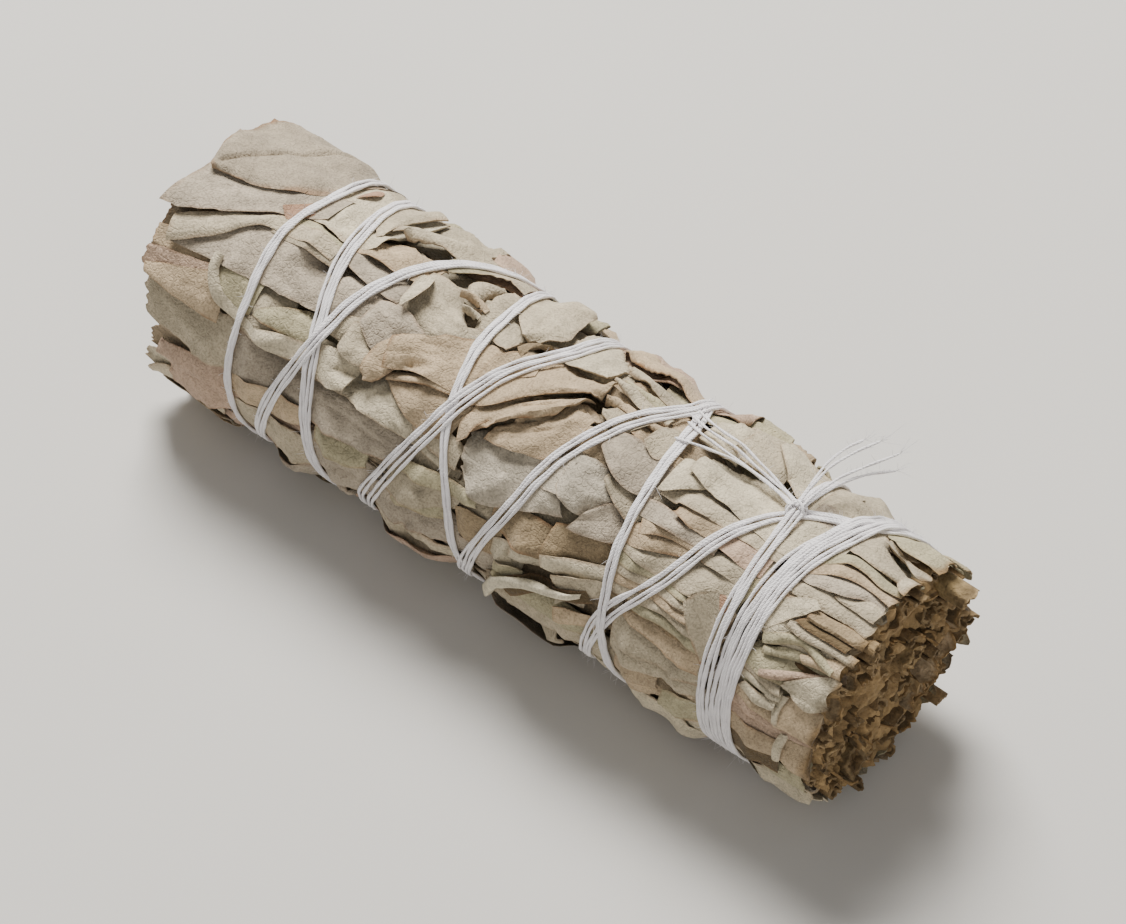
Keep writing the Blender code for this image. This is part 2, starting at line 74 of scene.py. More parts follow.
# The winding, pass by pass: band width, then (angle, x) down the front of the bundle
PASSES = (
    (1.6, ((82, 34.6), (105, 35.2), (135, 35.7), (165, 36.1), (195, 36.6))),
    (1.55, ((45, 40.9), (75, 39.5), (105, 37.9), (135, 37.5), (165, 37.9), (195, 38.4))),
    (1.55, ((45, 42.5), (75, 41.1), (105, 39.5), (135, 39.1), (165, 39.5), (195, 40.0))),
    (1.6, ((45, 43.6), (62, 41.3), (83, 34.6), (105, 30.7), (135, 27.1), (165, 22.0), (195, 19.2))),
    (1.9, ((45, 15.8), (60, 15.6), (90, 11.8), (120, 8.3), (150, 5.8), (195, 0.8))),
    (2.2, ((45, 0.6), (75, 0.0), (105, -3.9), (135, -7.0), (165, -10.6), (195, -14.5))),
    (1.6, ((45, -15.0), (75, -19.9), (105, -23.6), (135, -25.6), (165, -28.5), (195, -31.2))),
    (1.2, ((45, -37.0), (75, -36.2), (105, -37.0), (135, -36.0), (165, -35.6), (195, -34.8))),
    (1.9, ((45, -31.8), (75, -30.3), (105, -28.5), (132, -25.8), (165, -23.6), (195, -22.4))),
    (1.3, ((45, -10.5), (75, -9.0), (105, -7.9), (135, -5.5), (165, -1.9), (195, -0.4))),
    (1.3, ((45, 15.0), (75, 18.0), (105, 19.2), (135, 20.2), (165, 21.6), (195, 22.5))),
    (1.3, ((45, 33.2), (62, 33.7), (82, 34.4))),
)
# The passes in the order in which they lie on each other, undermost first
LAY_ORDER = (3, 1, 2, 9, 8, 10, 4, 5, 6, 7, 11, 0)
KNOT = (34.4, 82.0)

# Edges between the outer sprigs: (x, angle) along each, in order round the bundle
SPRIG_EDGES = (
    ((-54, 26), (-36, 30), (-25, 44), (-12, 40), (0, 46), (20, 50), (40, 44), (54, 42)),
    ((-54, 124), (-46, 112), (-38, 99), (-28, 99), (-20, 111), (-12, 99), (0, 91), (10, 95), (54, 97)),
    ((-54, 146), (-30, 144), (-20, 150), (-3, 151), (8, 148), (14, 137), (36, 127), (54, 132)),
    ((-54, 190), (-30, 186), (0, 178), (30, 183), (54, 186)),
    ((-54, 238), (-20, 243), (15, 236), (54, 241)),
    ((-54, 302), (-20, 297), (15, 303), (54, 299)),
    ((-54, 345), (-20, 352), (15, 342), (54, 348)),
)


# The flat stack: its cells, the radius at which an angle is laid flat, and the x within which leaves are held
CELL = 0.4
FLAT_RADIUS = 16.5
FLAT_DEGREE = math.radians(1.0) * FLAT_RADIUS
STACK_X = (-56.0, 56.0)
HELD_X = (-44.5, 46.0)
LEAF_STEP = 0.42
COARSE_STEP = 0.72


def linear(red, green, blue):
    """A display colour, 0 to 255, as the linear colour that shaders use."""
    share = np.array((red, green, blue)) / 255.0
    return tuple(np.where(share <= 0.04045, share / 12.92, ((share + 0.055) / 1.055) ** 2.4).tolist())


TONES = {
    "pale": linear(206, 194, 168),
    "mid": linear(190, 177, 152),
    "green": linear(180, 171, 140),
    "grey": linear(180, 167, 148),
    "blue": linear(184, 174, 156),
    "tan": linear(190, 169, 139),
    "pink": linear(190, 164, 142),
    "brown": linear(158, 139, 110),
    # dark is partly the tone of dark brown leaves and partly painted shade: laid low, under other leaves, it
    # darkens the gaps between them
    "dark": linear(104, 88, 64),
    "rose": linear(174, 140, 116),
    "straw": linear(222, 212, 186),
    "dusk": linear(170, 157, 137),
}
MARGIN = linear(150, 112, 78)
CUT_BROWN = linear(148, 121, 84)
# Leaves that start beyond the first x belong to the cut end, and beyond the second their ends are frayed
CUT_ZONE_X = 46.0
FRAYED_X = 50.0


def leaf(stem, tip, width, tone, **form):
    """One leaf: stem end and tip as (x, angle), width, tone and the ways in which its form differs from a
    plain one. tilt lifts one long side, roll arches it, curl lifts both margins, crinkle waves it, lift
    raises the tip, bend bows its axis, ragged tears its margin, torn tears its tip, pleat folds it
    lengthwise, belly, pointed, stem_share and tip_share shape its outline, solid fills it, gap is the air
    under it, margin browns its edge, thick scales its thickness, pull draws it taut, hug lowers its edges,
    frayed tears its stem end, sway wavers it, rib is the depth of its midrib's groove, and step is the size
    of its grid."""
    made = {
        "stem": stem, "tip": tip, "width": width, "tone": tone,
        "tilt": 0.0, "roll": 0.0, "curl": 0.22, "crinkle": 0.3, "lift": 0.0, "bend": 0.0, "ragged": 0.03,
        "torn": 0.0, "belly": 0.45, "stem_share": 0.4, "tip_share": 0.08, "pointed": 0.6, "solid": False,
        "gap": 0.12, "margin": 0.5, "thick": 1.0, "pleat": 0.0, "step": LEAF_STEP, "pull": 22, "hug": 0.0,
        "frayed": 0.0, "sway": 0.3, "rib": 0.16,
    }
    made.update(form)
    return made


def patch(upper, lower, tone, **form):
    """A leaf, or the part of one that shows, between two edges. Each edge is x, angle, x, angle and so on
    from stem to tip, and round is how far its ends narrow. The rest is as for leaf."""
    upper, lower = (tuple(zip(edge[::2], edge[1::2])) for edge in (upper, lower))
    start_x = upper[0][0]
    at_cut = start_x > CUT_ZONE_X
    form = {"tilt": -0.35, "roll": 0.06, "curl": 0.08, "crinkle": 0.2, "round": 0.12, "gap": 0.04,
            "pull": 22 if at_cut else 60, "hug": 0.35, "frayed": 0.7 if start_x > FRAYED_X else 0.0,
            "sway": 0.45 if at_cut else 0.2, **form}
    form["tilt"] *= 0.5 if at_cut else 0.75
    form["roll"] *= 1.5 if at_cut and not form.get("solid") else 0.75
    middle = [np.mean((upper[at], lower[at]), axis=0) for at in (0, -1)]
    made = leaf(tuple(middle[0]), tuple(middle[1]), 1.0, tone, **form)
    made["edges"] = (upper, lower)
    return made


# The leaves that the photograph shows, undermost first
SHOWN_LEAVES = (
    # Broad leaves under the rest
    patch((44, 22, 38, 24, 28, 28), (44, 54, 38, 56, 28, 58), "mid"),
    patch((-19, 28, -26, 30, -37, 34), (-19, 64, -27, 67, -37, 70), "mid"),
    patch((6, 147, 0, 149, -9, 150), (6, 161, 0, 163, -9, 163), "mid"),
    patch((23, 157, 16, 159, 9, 161), (23, 179, 16, 183, 9, 186), "brown"),
    # Lower side of the view, lengthwise
    patch((-34, 176, -40, 176, -45, 181), (-34, 196, -40, 198, -45, 196), "pink", torn=0.5),
    patch((-22, 182, -28, 181, -36, 184), (-22, 200, -28, 200, -36, 202), "mid"),
    patch((-12, 174, -17, 172, -23, 173), (-12, 194, -17, 194, -24, 192), "grey", roll=0.3),
    patch((-14, 161, -17, 163, -22, 166), (-14, 173, -17, 175, -22, 177), "green", margin=0.9),
    patch((0, 171, -6, 172, -14, 178), (0, 188, -6, 190, -14, 194), "grey"),
    patch((-2, 160, -6, 164, -10, 168), (-2, 174, -6, 177, -10, 180), "green", gap=0.25),
    patch((0, 156, -5, 157, -11, 160), (-1, 165, -5, 171, -11, 179), "mid", tilt=-0.6),
    patch((2, 152, -4, 154, -10, 158), (2, 157, -4, 160, -11, 163), "green", roll=0.5),
    patch((6, 160, 2, 161, -1, 163), (6, 174, 2, 177, 0, 176), "brown", roll=0.4),
    patch((24, 184, 14, 184, 4, 190), (24, 198, 14, 200, 4, 204), "mid"),
    patch((22, 176, 16, 177, 8, 180), (22, 186, 16, 188, 9, 190), "green", roll=0.5),
    patch((9.5, 163, 7, 163, 5, 166), (9.5, 172, 7, 174, 5, 173), "pale", crinkle=0.9, curl=0.8),
    patch((10, 170, 8, 172, 6, 174), (10, 179, 7.5, 181, 6, 180), "green", crinkle=0.9, curl=0.8),
    patch((18.5, 165, 16, 167, 14.5, 171), (18.5, 171, 16, 173, 15, 176), "pale", lift=0.5, curl=0.5),
    patch((21, 171, 18, 174, 15, 178), (21, 177, 18, 180, 15.5, 183), "tan", lift=0.3),
    patch((14.5, 155, 11, 157, 8, 160), (14.5, 162, 11, 166, 8, 168), "pale", roll=0.4),
    patch((36, 180, 30, 180, 24, 181), (36, 196, 30, 198, 23, 198), "tan", roll=0.4, gap=0.0),
    patch((30, 179, 27, 178, 24, 181), (30, 188, 27, 189, 24, 190), "tan", roll=0.8, margin=0.9),
    patch((37, 182, 34, 182, 31, 184), (37, 194, 34, 195, 31, 193), "green", roll=0.5),
    patch((37, 170, 30, 170, 23, 172), (37, 177, 30, 178, 23, 181), "mid", roll=0.5, tilt=-0.5),
    patch((36, 158, 29, 158, 23, 160), (36, 170, 29, 171, 23, 173), "mid", tilt=-0.5),
    patch((35, 153, 29, 153, 24, 155), (35, 165, 30, 162.5, 24, 160), "tan", tilt=-0.6),
    # The lower left leaves
    patch((-36, 165, -41, 172, -47, 178), (-36, 181, -41, 182, -46.5, 184), "pink", roll=0.3, torn=0.3),
    patch((-34, 148, -42, 148, -51, 148), (-34, 169, -42, 170.5, -49.5, 168), "mid", torn=0.6, ragged=0.05,
          crinkle=0.35),
    patch((-8, 149, -20, 147, -36, 147.5), (-9, 163, -20, 166, -36, 181), "grey", crinkle=0.12, tilt=-0.6,
          margin=0.8),
    patch((-23, 164, -29, 166, -35, 170), (-23, 172, -29, 178, -35, 181), "tan", roll=0.3),
    # Painted shade: a dark sheet under the leaves of the lower left end, seen in the gaps between them
    patch((-40, 112, -46, 112, -53, 120), (-40, 134, -46, 135, -52, 131), "dark", torn=0.3),
    patch((-38, 124, -44, 125, -52, 129), (-38, 142, -44, 143, -51.5, 139), "tan", torn=0.4, margin=0.8),
    patch((-40, 130, -45, 134, -51.5, 138), (-40, 150, -45, 150, -51.5, 147), "pink", torn=0.4),
    patch((-39, 127, -42, 134, -50.5, 145.5), (-38.5, 151, -42, 150, -50, 149.5), "tan", tilt=-0.6,
          crinkle=0.15, margin=0.7),
    patch((-35, 126, -38, 126, -41, 128), (-35, 141, -38, 142, -40.5, 139), "green", gap=0.0),
    patch((-25, 136, -30, 138, -35, 141), (-25, 147, -30, 148, -36, 148), "mid", tilt=-0.5),
    patch((-25, 124, -29, 127, -34.5, 137), (-25, 138, -29, 139, -34.5, 140), "green", margin=0.9,
          roll=0.25),
    patch((-25.5, 138, -30, 140.5, -34.8, 145.5), (-25.5, 145, -30, 147.5, -34.8, 147), "pale", roll=0.4),
    # The large leaves of the left end
    patch((-20, 91, -28, 95, -36, 103, -42, 108, -48, 128), (-20, 121, -29, 124.5, -36, 127, -42, 129, -49,
          133), "grey", crinkle=0.12, tilt=-0.7, margin=0.3),
    patch((-21, 116, -23, 118, -25, 121), (-21, 128, -23, 129, -25.5, 128), "mid"),
    patch((-28, 98.5, -33, 98.5, -38.5, 101), (-28, 104, -33, 105, -38.5, 106), "mid", roll=0.5),
    patch((-28, 91, -33, 92, -38, 95), (-28, 97.5, -33, 98.5, -38, 100), "green", roll=0.5),
    patch((-16, 76, -22, 78, -30, 82), (-16, 100, -22, 102, -30, 99), "grey", tilt=-0.2),
    patch((-19, 73, -24, 74, -29, 84), (-19, 88, -24, 90, -29.5, 93), "tan", tilt=-0.5, crinkle=0.4),
    patch((-26, 40, -30, 44, -37, 52), (-26.5, 88, -30, 91, -38, 92), "pale", crinkle=0.12, tilt=-0.6,
          margin=0.7),
    patch((-26.5, 42, -27.5, 55, -28, 68, -27.6, 80), (-30.5, 42, -31, 55, -30.5, 70, -28.2, 82), "mid",
          roll=0.7),
    patch((-30, 96, -38, 98, -41.5, 104, -45.5, 113, -50, 122), (-30, 103, -38, 104.5, -41, 110, -44, 121,
          -49, 133), "mid", roll=0.5, tilt=-0.7, crinkle=0.15),
    patch((-36, 70, -41, 74, -46, 82, -51.5, 88), (-36, 88, -41, 90, -46, 98, -51.5, 100), "tan"),
    patch((-34, 72, -39, 78, -44, 86, -48, 90, -51, 94), (-34, 89, -38.5, 96.5, -44.8, 110.5, -49.6, 118.5,
          -52.5, 122), "grey", tilt=-0.7, crinkle=0.15, roll=0.3, round=0.1, sway=0.0),
    patch((-36.9, 84, -38, 90, -39.4, 95.5), (-36, 89, -36.9, 94.5, -38.3, 98.5), "rose"),
    patch((-42, 22, -49, 30, -52.6, 46, -53.0, 62, -52.0, 82, -50.6, 97), (-34, 30, -35.4, 44, -36.2, 60,
          -38, 80, -43, 93, -49.8, 99), "dusk", roll=1.1, tilt=-0.35, crinkle=0.35, margin=0.9, ragged=0.012,
          rib=0.9, sway=0.0),
    patch((-34.8, 55, -34.7, 60, -34.9, 68), (-33.9, 54, -33.6, 59, -34.2, 65), "rose", roll=0.3),
    patch((-12, 38, -18, 47, -23, 54, -27, 64), (-11, 56, -18, 62, -22.5, 66, -27.2, 77), "mid", roll=0.5,
          tilt=-0.9, crinkle=0.15, gap=0.5),
    # The middle, from below upwards
    patch((14, 146, 9, 146.5, 4, 148), (14, 157, 9, 160, 4, 160), "brown", tilt=-0.4, margin=0.8, gap=0.0),
    patch((20, 138, 16, 139, 12, 142), (20, 150, 16, 155, 12, 157), "brown", tilt=-0.4, margin=0.9),
    patch((20, 147, 16.5, 151, 12.5, 155), (20.5, 154, 17, 158, 13, 160.5), "pale", roll=0.3, lift=0.3),
    patch((20.5, 153, 17, 157, 14.5, 160), (20.5, 160, 18, 164, 15, 166), "mid", lift=0.4, crinkle=0.5),
    patch((-3, 139, -9, 141, -15, 129, -19, 134, -26, 130), (-3, 152, -9, 148.5, -15, 146, -19, 147, -26,
          148.5), "pale", crinkle=0.12, tilt=-0.5, margin=0.6),
    patch((-18.5, 131, -21.5, 132, -24.5, 134), (-19, 144, -21.5, 146.5, -24.5, 147), "pale", curl=0.9,
          crinkle=0.9, tilt=-0.4),
    patch((-2.5, 138, -6, 136, -10, 133), (-2.5, 148, -6, 146, -9.5, 143), "mid", tilt=-0.4),
    patch((-4, 121, -8, 122, -12.8, 124.5, -15.3, 129), (-5, 140, -8.5, 141.5, -12, 137, -15.3, 131.5),
          "tan", crinkle=0.15, tilt=-0.3, margin=0.8),
    patch((-7, 118.6, -11, 120.5, -15.2, 127.5), (-7, 121.8, -11, 124.5, -15.2, 131), "tan", roll=0.35,
          margin=1.0, tilt=-0.3),
    patch((-10, 98, -13, 88, -15.5, 80, -19.8, 79), (-9.6, 102, -13, 107, -15.5, 112, -18.8, 106), "mid",
          crinkle=0.1, tilt=-0.4, round=0.1),
    patch((-17, 116, -19.5, 117, -22.5, 119), (-17, 131, -19.5, 132, -22.5, 131), "mid", lift=0.3),
    patch((-14, 108, -18, 104, -21.5, 105), (-14, 124, -18, 124, -22, 117), "grey", roll=0.4, tilt=0.5),
    patch((-14.6, 113, -14.8, 121, -15.3, 129, -16.4, 135), (-16.6, 113, -17.8, 121, -18.1, 129, -17.6, 136),
          "tan", roll=0.25, crinkle=0.3, margin=0.6, round=0.3),
    patch((-2.5, 93, -8, 94.5, -11, 102, -17, 115), (-3.5, 117, -8, 120, -12.8, 122.5, -15.8, 128), "tan",
          crinkle=0.22, tilt=-0.5, roll=0.3, margin=0.8),
    patch((-18.6, 84, -17.7, 92, -18.2, 104), (-20.4, 84, -19.8, 92, -18.6, 105), "pale", roll=0.3, curl=0.5,
          lift=0.3, round=0.6, gap=0.3),
    patch((8.5, 119, 4, 121, 0, 125, -3.3, 131), (12.5, 139, 7, 146, 3, 152, -2.2, 147), "blue", crinkle=0.5,
          tilt=-0.4, torn=0.4, ragged=0.05),
    patch((13.5, 112, 10, 113, 8, 118), (13.8, 134, 11, 131, 8, 134), "blue", crinkle=0.5, tilt=-0.4),
    patch((9, 94, 6.5, 93, 4, 106, 0, 118), (8.6, 112, 7.5, 121, 4, 125.5, -1, 130), "tan", crinkle=0.4,
          tilt=-0.15, margin=0.6, hug=0.7),
    patch((7, 88, 3.2, 96, -0.5, 106, -4.2, 118), (5, 105, 3, 111, 0, 120.5, -3.6, 133), "tan", roll=0.2,
          tilt=-0.7, margin=0.9, crinkle=0.35, ragged=0.06),
    patch((-1.0, 122, -2.0, 127, -2.4, 133), (-3.6, 123, -4.2, 129, -3.6, 137), "tan", crinkle=0.7, roll=0.4,
          margin=0.9),
    patch((7.5, 77, 3, 79, -1, 84, -3, 95, -5, 108), (7.3, 86, 5.4, 92, 1.3, 102, -1.6, 113.5, -4.6, 122),
          "tan", roll=0.4, tilt=-0.7, crinkle=0.25, margin=0.6),
    patch((-1.5, 84, -4, 90, -6, 99), (-0.5, 95, -4, 104, -6, 110), "tan", roll=0.2),
    # Small folded scraps about the holes of the upper middle
    patch((-8.2, 74, -6, 77, -5, 84), (-9.2, 78, -8, 90, -5.4, 93), "mid", gap=0.1),
    patch((-8, 60, -9.5, 72, -9, 90), (-11.6, 60, -11.8, 74, -10.6, 92), "mid", crinkle=0.15),
    patch((-10.8, 81, -12.6, 80.6, -14.6, 82), (-10.8, 83.4, -12.6, 83, -14.6, 84), "tan", roll=0.5,
          gap=0.15),
    patch((-10.8, 86.4, -12, 86.6, -13.4, 87.6), (-10.8, 88.4, -12, 88.6, -13, 89.4), "mid", roll=0.5,
          gap=0.15),
    patch((-12.2, 64, -13.4, 70, -13, 79), (-14.6, 65, -15.8, 71, -14.8, 78), "mid", roll=0.6),
    patch((-15, 60, -17, 66, -18.8, 74), (-17, 57, -19.4, 64, -20.4, 72), "green", roll=0.6),
    patch((-3.4, 42, -2.6, 56, -1.9, 70, -4.6, 82), (-10.5, 42, -10.2, 57, -8, 73, -5.4, 83), "mid",
          crinkle=0.1, curl=0.1, tilt=0.5, gap=0.45, round=0.0),
    patch((-1.4, 74, -2.4, 78, -3.4, 84), (-4.4, 84, -4.6, 88, -3.6, 91), "brown", roll=0.4),
    patch((15, 61, 11, 62, 7, 63), (15, 68, 11, 69, 7, 68), "mid", roll=0.4),
    patch((15, 70, 11, 71, 8, 73), (15, 73, 11, 75, 8, 76), "green", roll=0.4),
    patch((15.5, 75, 11, 76, 7.4, 78), (15.5, 79, 11, 80, 7.4, 80), "mid", roll=0.4),
    patch((15.5, 81, 11, 82, 7.6, 83), (15.5, 84.5, 11, 85, 7.8, 86), "tan", roll=0.4),
    patch((14, 85, 11, 87, 8, 88), (13, 92, 11, 94, 8.6, 92), "mid", tilt=-0.5),
    patch((1.8, 44, 4, 56, 7, 68), (-1.6, 46, -1, 62, 0.5, 80, 6, 78), "pale", crinkle=0.12, tilt=-0.3,
          gap=0.3),
    patch((15, 36, 9, 38, 2, 41), (15, 57, 9, 54, 3, 52), "tan", roll=0.3, tilt=-0.5, margin=1.0),
    # Between the third and the fourth band
    patch((17, 112, 13, 112, 9.5, 114), (17, 123, 14.2, 133, 10, 129), "blue", crinkle=0.4, tilt=-0.5),
    patch((20.5, 123, 17.2, 123, 15, 131), (20.5, 135, 17, 138.5, 13.6, 141.5), "grey", tilt=-0.4,
          crinkle=0.15),
    patch((20.5, 111, 17, 111, 14.4, 113), (20.5, 126, 17, 121.5, 14.6, 117), "mid", tilt=-0.4),
    patch((20.6, 96, 16, 95, 11, 96), (20.6, 112.5, 16, 113.5, 11.6, 106), "grey", crinkle=0.1, tilt=-0.6,
          gap=0.3),
    patch((18.6, 78, 17, 80, 15.6, 84), (18.8, 92, 17.6, 97, 15.4, 95), "mid", roll=0.4, gap=0.3),
    # The long leaves of the right
    patch((37, 100, 30, 101, 21, 103), (37, 116, 30, 117, 20, 118), "mid", tilt=-0.1),
    patch((37, 116, 30, 117, 21, 118), (36, 134, 30, 136, 20, 137), "green", tilt=-0.1),
    patch((37, 134, 30, 135, 21, 137), (36, 154, 30, 155, 21, 155), "brown", tilt=-0.1),
    patch((34, 148, 30, 149, 24, 152), (35, 156, 31, 153.5, 24, 156), "green", roll=0.4),
    patch((32, 145, 27, 145, 21, 148), (33.5, 149.5, 28, 149, 21, 154), "mid", roll=0.45),
    patch((32, 141, 26, 142, 21, 145), (32, 145.5, 26, 146, 21, 149), "tan", roll=0.45),
    patch((32, 137.5, 26, 138.5, 20, 141), (32, 141.5, 26, 143, 20, 145), "mid", roll=0.4, margin=0.8),
    patch((31.5, 133, 26, 134, 20, 136), (31.5, 138, 26, 139, 20, 141), "green", roll=0.45),
    patch((36, 121, 29, 121, 22, 126), (35, 134, 29, 135.5, 20.5, 136), "mid", crinkle=0.15, tilt=-0.5),
    patch((36, 114, 33, 114, 29.5, 116), (36, 122, 33, 121.5, 29.5, 122), "mid", tilt=-0.5),
    patch((28, 118.5, 24, 119.5, 20.4, 124), (28, 124, 24, 129, 20.6, 132.5), "tan", roll=0.5, tilt=-0.6,
          margin=0.9),
    patch((30, 116, 25, 117, 21, 121), (29.5, 120, 25, 121.5, 21.5, 126.5), "tan", roll=0.4, margin=0.8),
    patch((30.5, 111, 25, 112, 20, 112.5), (30.5, 117, 25, 118.5, 20, 119.5), "grey", tilt=-0.5),
    patch((36.5, 104, 33, 104, 29, 105), (36.5, 114, 33, 114, 29, 113), "pink", crinkle=0.5),
    patch((30, 105, 27, 106, 24, 107), (30, 112, 27, 113.5, 24, 112), "tan", crinkle=1.0, curl=0.7,
          ragged=0.1, margin=0.9),
    patch((37, 97, 30, 96, 20.5, 94), (37, 105, 30, 105.5, 20.8, 108), "mid", tilt=-0.4, crinkle=0.12),
    patch((25, 86, 22.5, 87, 20.2, 89), (25, 97, 22.5, 103, 20.2, 107.5), "pale", roll=0.3, crinkle=0.2,
          margin=0.2),
    patch((37.5, 74, 30, 74, 22, 78), (37.5, 101, 30, 98.5, 22, 95.5), "pale", crinkle=0.1, tilt=-0.6,
          margin=0.2),
    patch((37, 42, 30, 42, 22, 42), (37, 58, 30, 58, 21, 58), "mid", crinkle=0.12),
    patch((24.5, 56, 22, 56, 19, 57), (24.5, 74, 22, 76, 19, 75), "pale", crinkle=0.15, tilt=-0.4),
    patch((30, 53, 27, 52, 23.5, 54), (30, 70, 27, 74, 23.5, 75), "mid", roll=0.4, tilt=-0.5),
    patch((36, 58, 31, 50, 26, 38), (36, 78, 31, 70, 26, 54), "pale", crinkle=0.12, tilt=-0.5),
    patch((43, 48, 39, 50, 34.5, 53), (43, 66, 39, 68, 35, 70), "mid", crinkle=0.15, tilt=-0.5),
    patch((42, 66, 39, 67, 35.4, 68), (42, 80, 39, 81, 35.6, 80), "grey", crinkle=0.2),
    patch((42, 78, 39, 79, 35.4, 79), (42, 100, 39, 101, 35.6, 100), "pale", crinkle=0.12),
    patch((33.6, 128, 32, 133, 31, 139), (36.4, 132, 35.8, 150, 34.9, 159), "mid", crinkle=0.1, margin=0.8,
          tilt=-0.1, gap=0.5, round=0.0, hug=0.0, thick=1.5, sway=0.0),
    patch((33.8, 128.6, 34.3, 132, 34.8, 135), (34.3, 128, 35, 131.5, 35.6, 134.6), "rose", gap=0.0,
          tilt=0.0, roll=0.0, sway=0.0, hug=0.0),
    # The ridges of the cut end, from below upwards
    # Painted shade: a dark sheet under the lowest ridges of the cut end, seen below them
    patch((47, 180, 43, 180, 39.5, 181), (47, 192, 43, 193, 39.5, 194), "dark"),
    patch((51.8, 165.5, 49, 166, 47.3, 167), (51.8, 181, 49, 181.5, 47.5, 180), "tan", roll=1.4, solid=True,
          round=0.0),
    patch((47.6, 164, 43, 165, 39.5, 166), (47.6, 174, 43, 174.5, 39.5, 173), "pink", roll=0.6),
    patch((46.8, 172, 43, 172, 39.5, 172), (47, 180, 43, 181, 39.5, 181), "tan", roll=0.6),
    patch((47.7, 166, 47.5, 172, 47.6, 179), (46.9, 166, 46.6, 172, 46.8, 179), "pale", roll=0.3),
    patch((51.5, 162, 46, 162, 39.5, 160), (51.5, 166, 46, 166.5, 39.5, 166), "pink", roll=0.4),
    patch((46.8, 157, 43, 158.5, 39.8, 158.5), (46.8, 163.5, 43, 162.5, 39.8, 161.5), "tan", roll=0.4),
    patch((51.6, 149.5, 48, 150, 45.8, 150), (51.6, 162, 48, 162.5, 45.9, 163), "tan", roll=1.4, solid=True,
          round=0.0, crinkle=0.1),
    patch((46.2, 150, 46.0, 156, 46.4, 162.5), (45.1, 151, 45.0, 156, 45.6, 162), "pale", roll=0.4),
    patch((45.4, 152, 43.5, 154.5, 40.6, 154.4), (45.6, 155, 43.5, 158, 40, 157.5), "pale", roll=0.5),
    patch((45.5, 148.6, 43, 150, 40, 150), (45.8, 151.6, 43.5, 152.8, 40, 152.4), "pale", roll=0.5),
    patch((44.8, 145.8, 42, 145.2, 39.8, 145.2), (45.6, 149.4, 42, 148.6, 39.8, 148.8), "mid", roll=0.3),
    patch((50.5, 132, 45, 133, 39.8, 135.5), (50, 141, 45, 144.5, 39.8, 145.5), "green", tilt=-0.4),
    patch((49.8, 131.5, 47, 136, 44, 141, 42, 144), (50, 133.8, 47.2, 138.8, 44.4, 143.4, 42.2, 146), "pink",
          roll=0.4),
    patch((51.3, 132.5, 49.2, 134, 45.3, 143.5), (51.3, 143.8, 48.6, 149, 45.1, 145.5), "pale", crinkle=0.06,
          tilt=-0.8, gap=0.3, round=0.0, sway=0.0),
    patch((46, 130.3, 44, 131.8, 41, 136), (46.3, 132.6, 44.3, 135, 41.2, 138.8), "green", roll=0.5),
    patch((51.3, 125.3, 49.3, 126, 47.8, 128, 45.3, 131), (51.3, 131.8, 49.3, 132, 47.8, 132.3, 46, 133.6),
          "tan", roll=0.5),
    patch((49.6, 129, 47, 125.8, 44.5, 125.3, 42, 128.3, 40.2, 132.3), (49.7, 131.6, 47, 129, 44.7, 128.6,
          42.5, 131.7, 40.6, 135.2), "green", roll=0.6),
    patch((51.6, 121, 48, 121.6, 45, 120.5, 42.5, 121.3), (51.6, 124.4, 48, 125, 45, 124.8, 42.3, 125),
          "mid", roll=0.5),
    # Painted shade: a dark strip in the crevice between two ridges
    patch((50.8, 116, 47, 116.5, 43.6, 117.5), (50.8, 120, 47, 120.6, 43, 120.6), "dark", roll=0.1),
    patch((51.4, 111.5, 48, 112, 44, 112.6), (51.4, 117.4, 48, 117.2, 43.8, 117.3), "brown", roll=0.5),
    patch((51.2, 103.8, 46, 103, 42.5, 103.8, 39.8, 107), (51.2, 110.6, 47, 111.4, 44.3, 111.6, 39.8, 112.2),
          "mid", roll=0.6),
    patch((50.9, 98, 48.4, 97, 45.5, 101), (50.9, 104, 48, 104.6, 44.6, 103.6), "mid", roll=0.3),
    patch((50.7, 93, 47, 92, 44, 94, 39.8, 102), (50.6, 99, 48.4, 97.4, 45.8, 101.5, 39.9, 105), "grey",
          roll=0.3, tilt=-0.9, crinkle=0.1),
    patch((51, 88, 46, 87.6, 43, 89, 39.8, 94), (50.8, 94.4, 47, 93.2, 44, 95.2, 39.8, 102.6), "tan",
          roll=0.3, tilt=-0.8, crinkle=0.1),
    patch((51.2, 84, 46, 81.8, 43, 83, 40, 91), (51.2, 89, 46, 88.4, 43, 89.4, 40, 96), "green", roll=0.3,
          tilt=-0.8, crinkle=0.1),
    patch((51.6, 76, 50.4, 76, 49, 77), (51.6, 87, 50.2, 87, 49.2, 85), "mid", roll=1.0, curl=1.2),
    patch((50, 76, 46, 69, 42, 60), (49.8, 83.2, 45, 82.6, 41, 80.5), "mid", crinkle=0.05, roll=0.9,
          tilt=-0.4, sway=0.0, round=0.05),
    patch((51.5, 66, 49, 70, 47, 67, 44, 63), (51.5, 76, 49.4, 77, 47, 71, 44, 67), "mid", curl=1.2,
          crinkle=0.5, tilt=-1.2),
    patch((51.5, 44, 48, 42, 42, 42), (51.6, 66, 49, 64, 46, 66, 42.6, 58), "green", roll=0.7, tilt=-1.4,
          crinkle=0.2, curl=0.6),
    patch((43.4, 109.6, 41.8, 112.4, 39.4, 117), (44.5, 111.8, 42.6, 120, 39.4, 132.5), "pale", roll=0.25,
          tilt=-0.4, gap=0.25, round=0.0, sway=0.0, crinkle=0.08),
    # Stems that lie across
    # Painted shadow: a dark sheet under the stem that lies across, showing beside it
    patch((19, 160, 14.5, 167, 10.5, 172, 7.4, 180), (20, 164, 15.4, 171, 12, 177, 9, 186), "dark"),
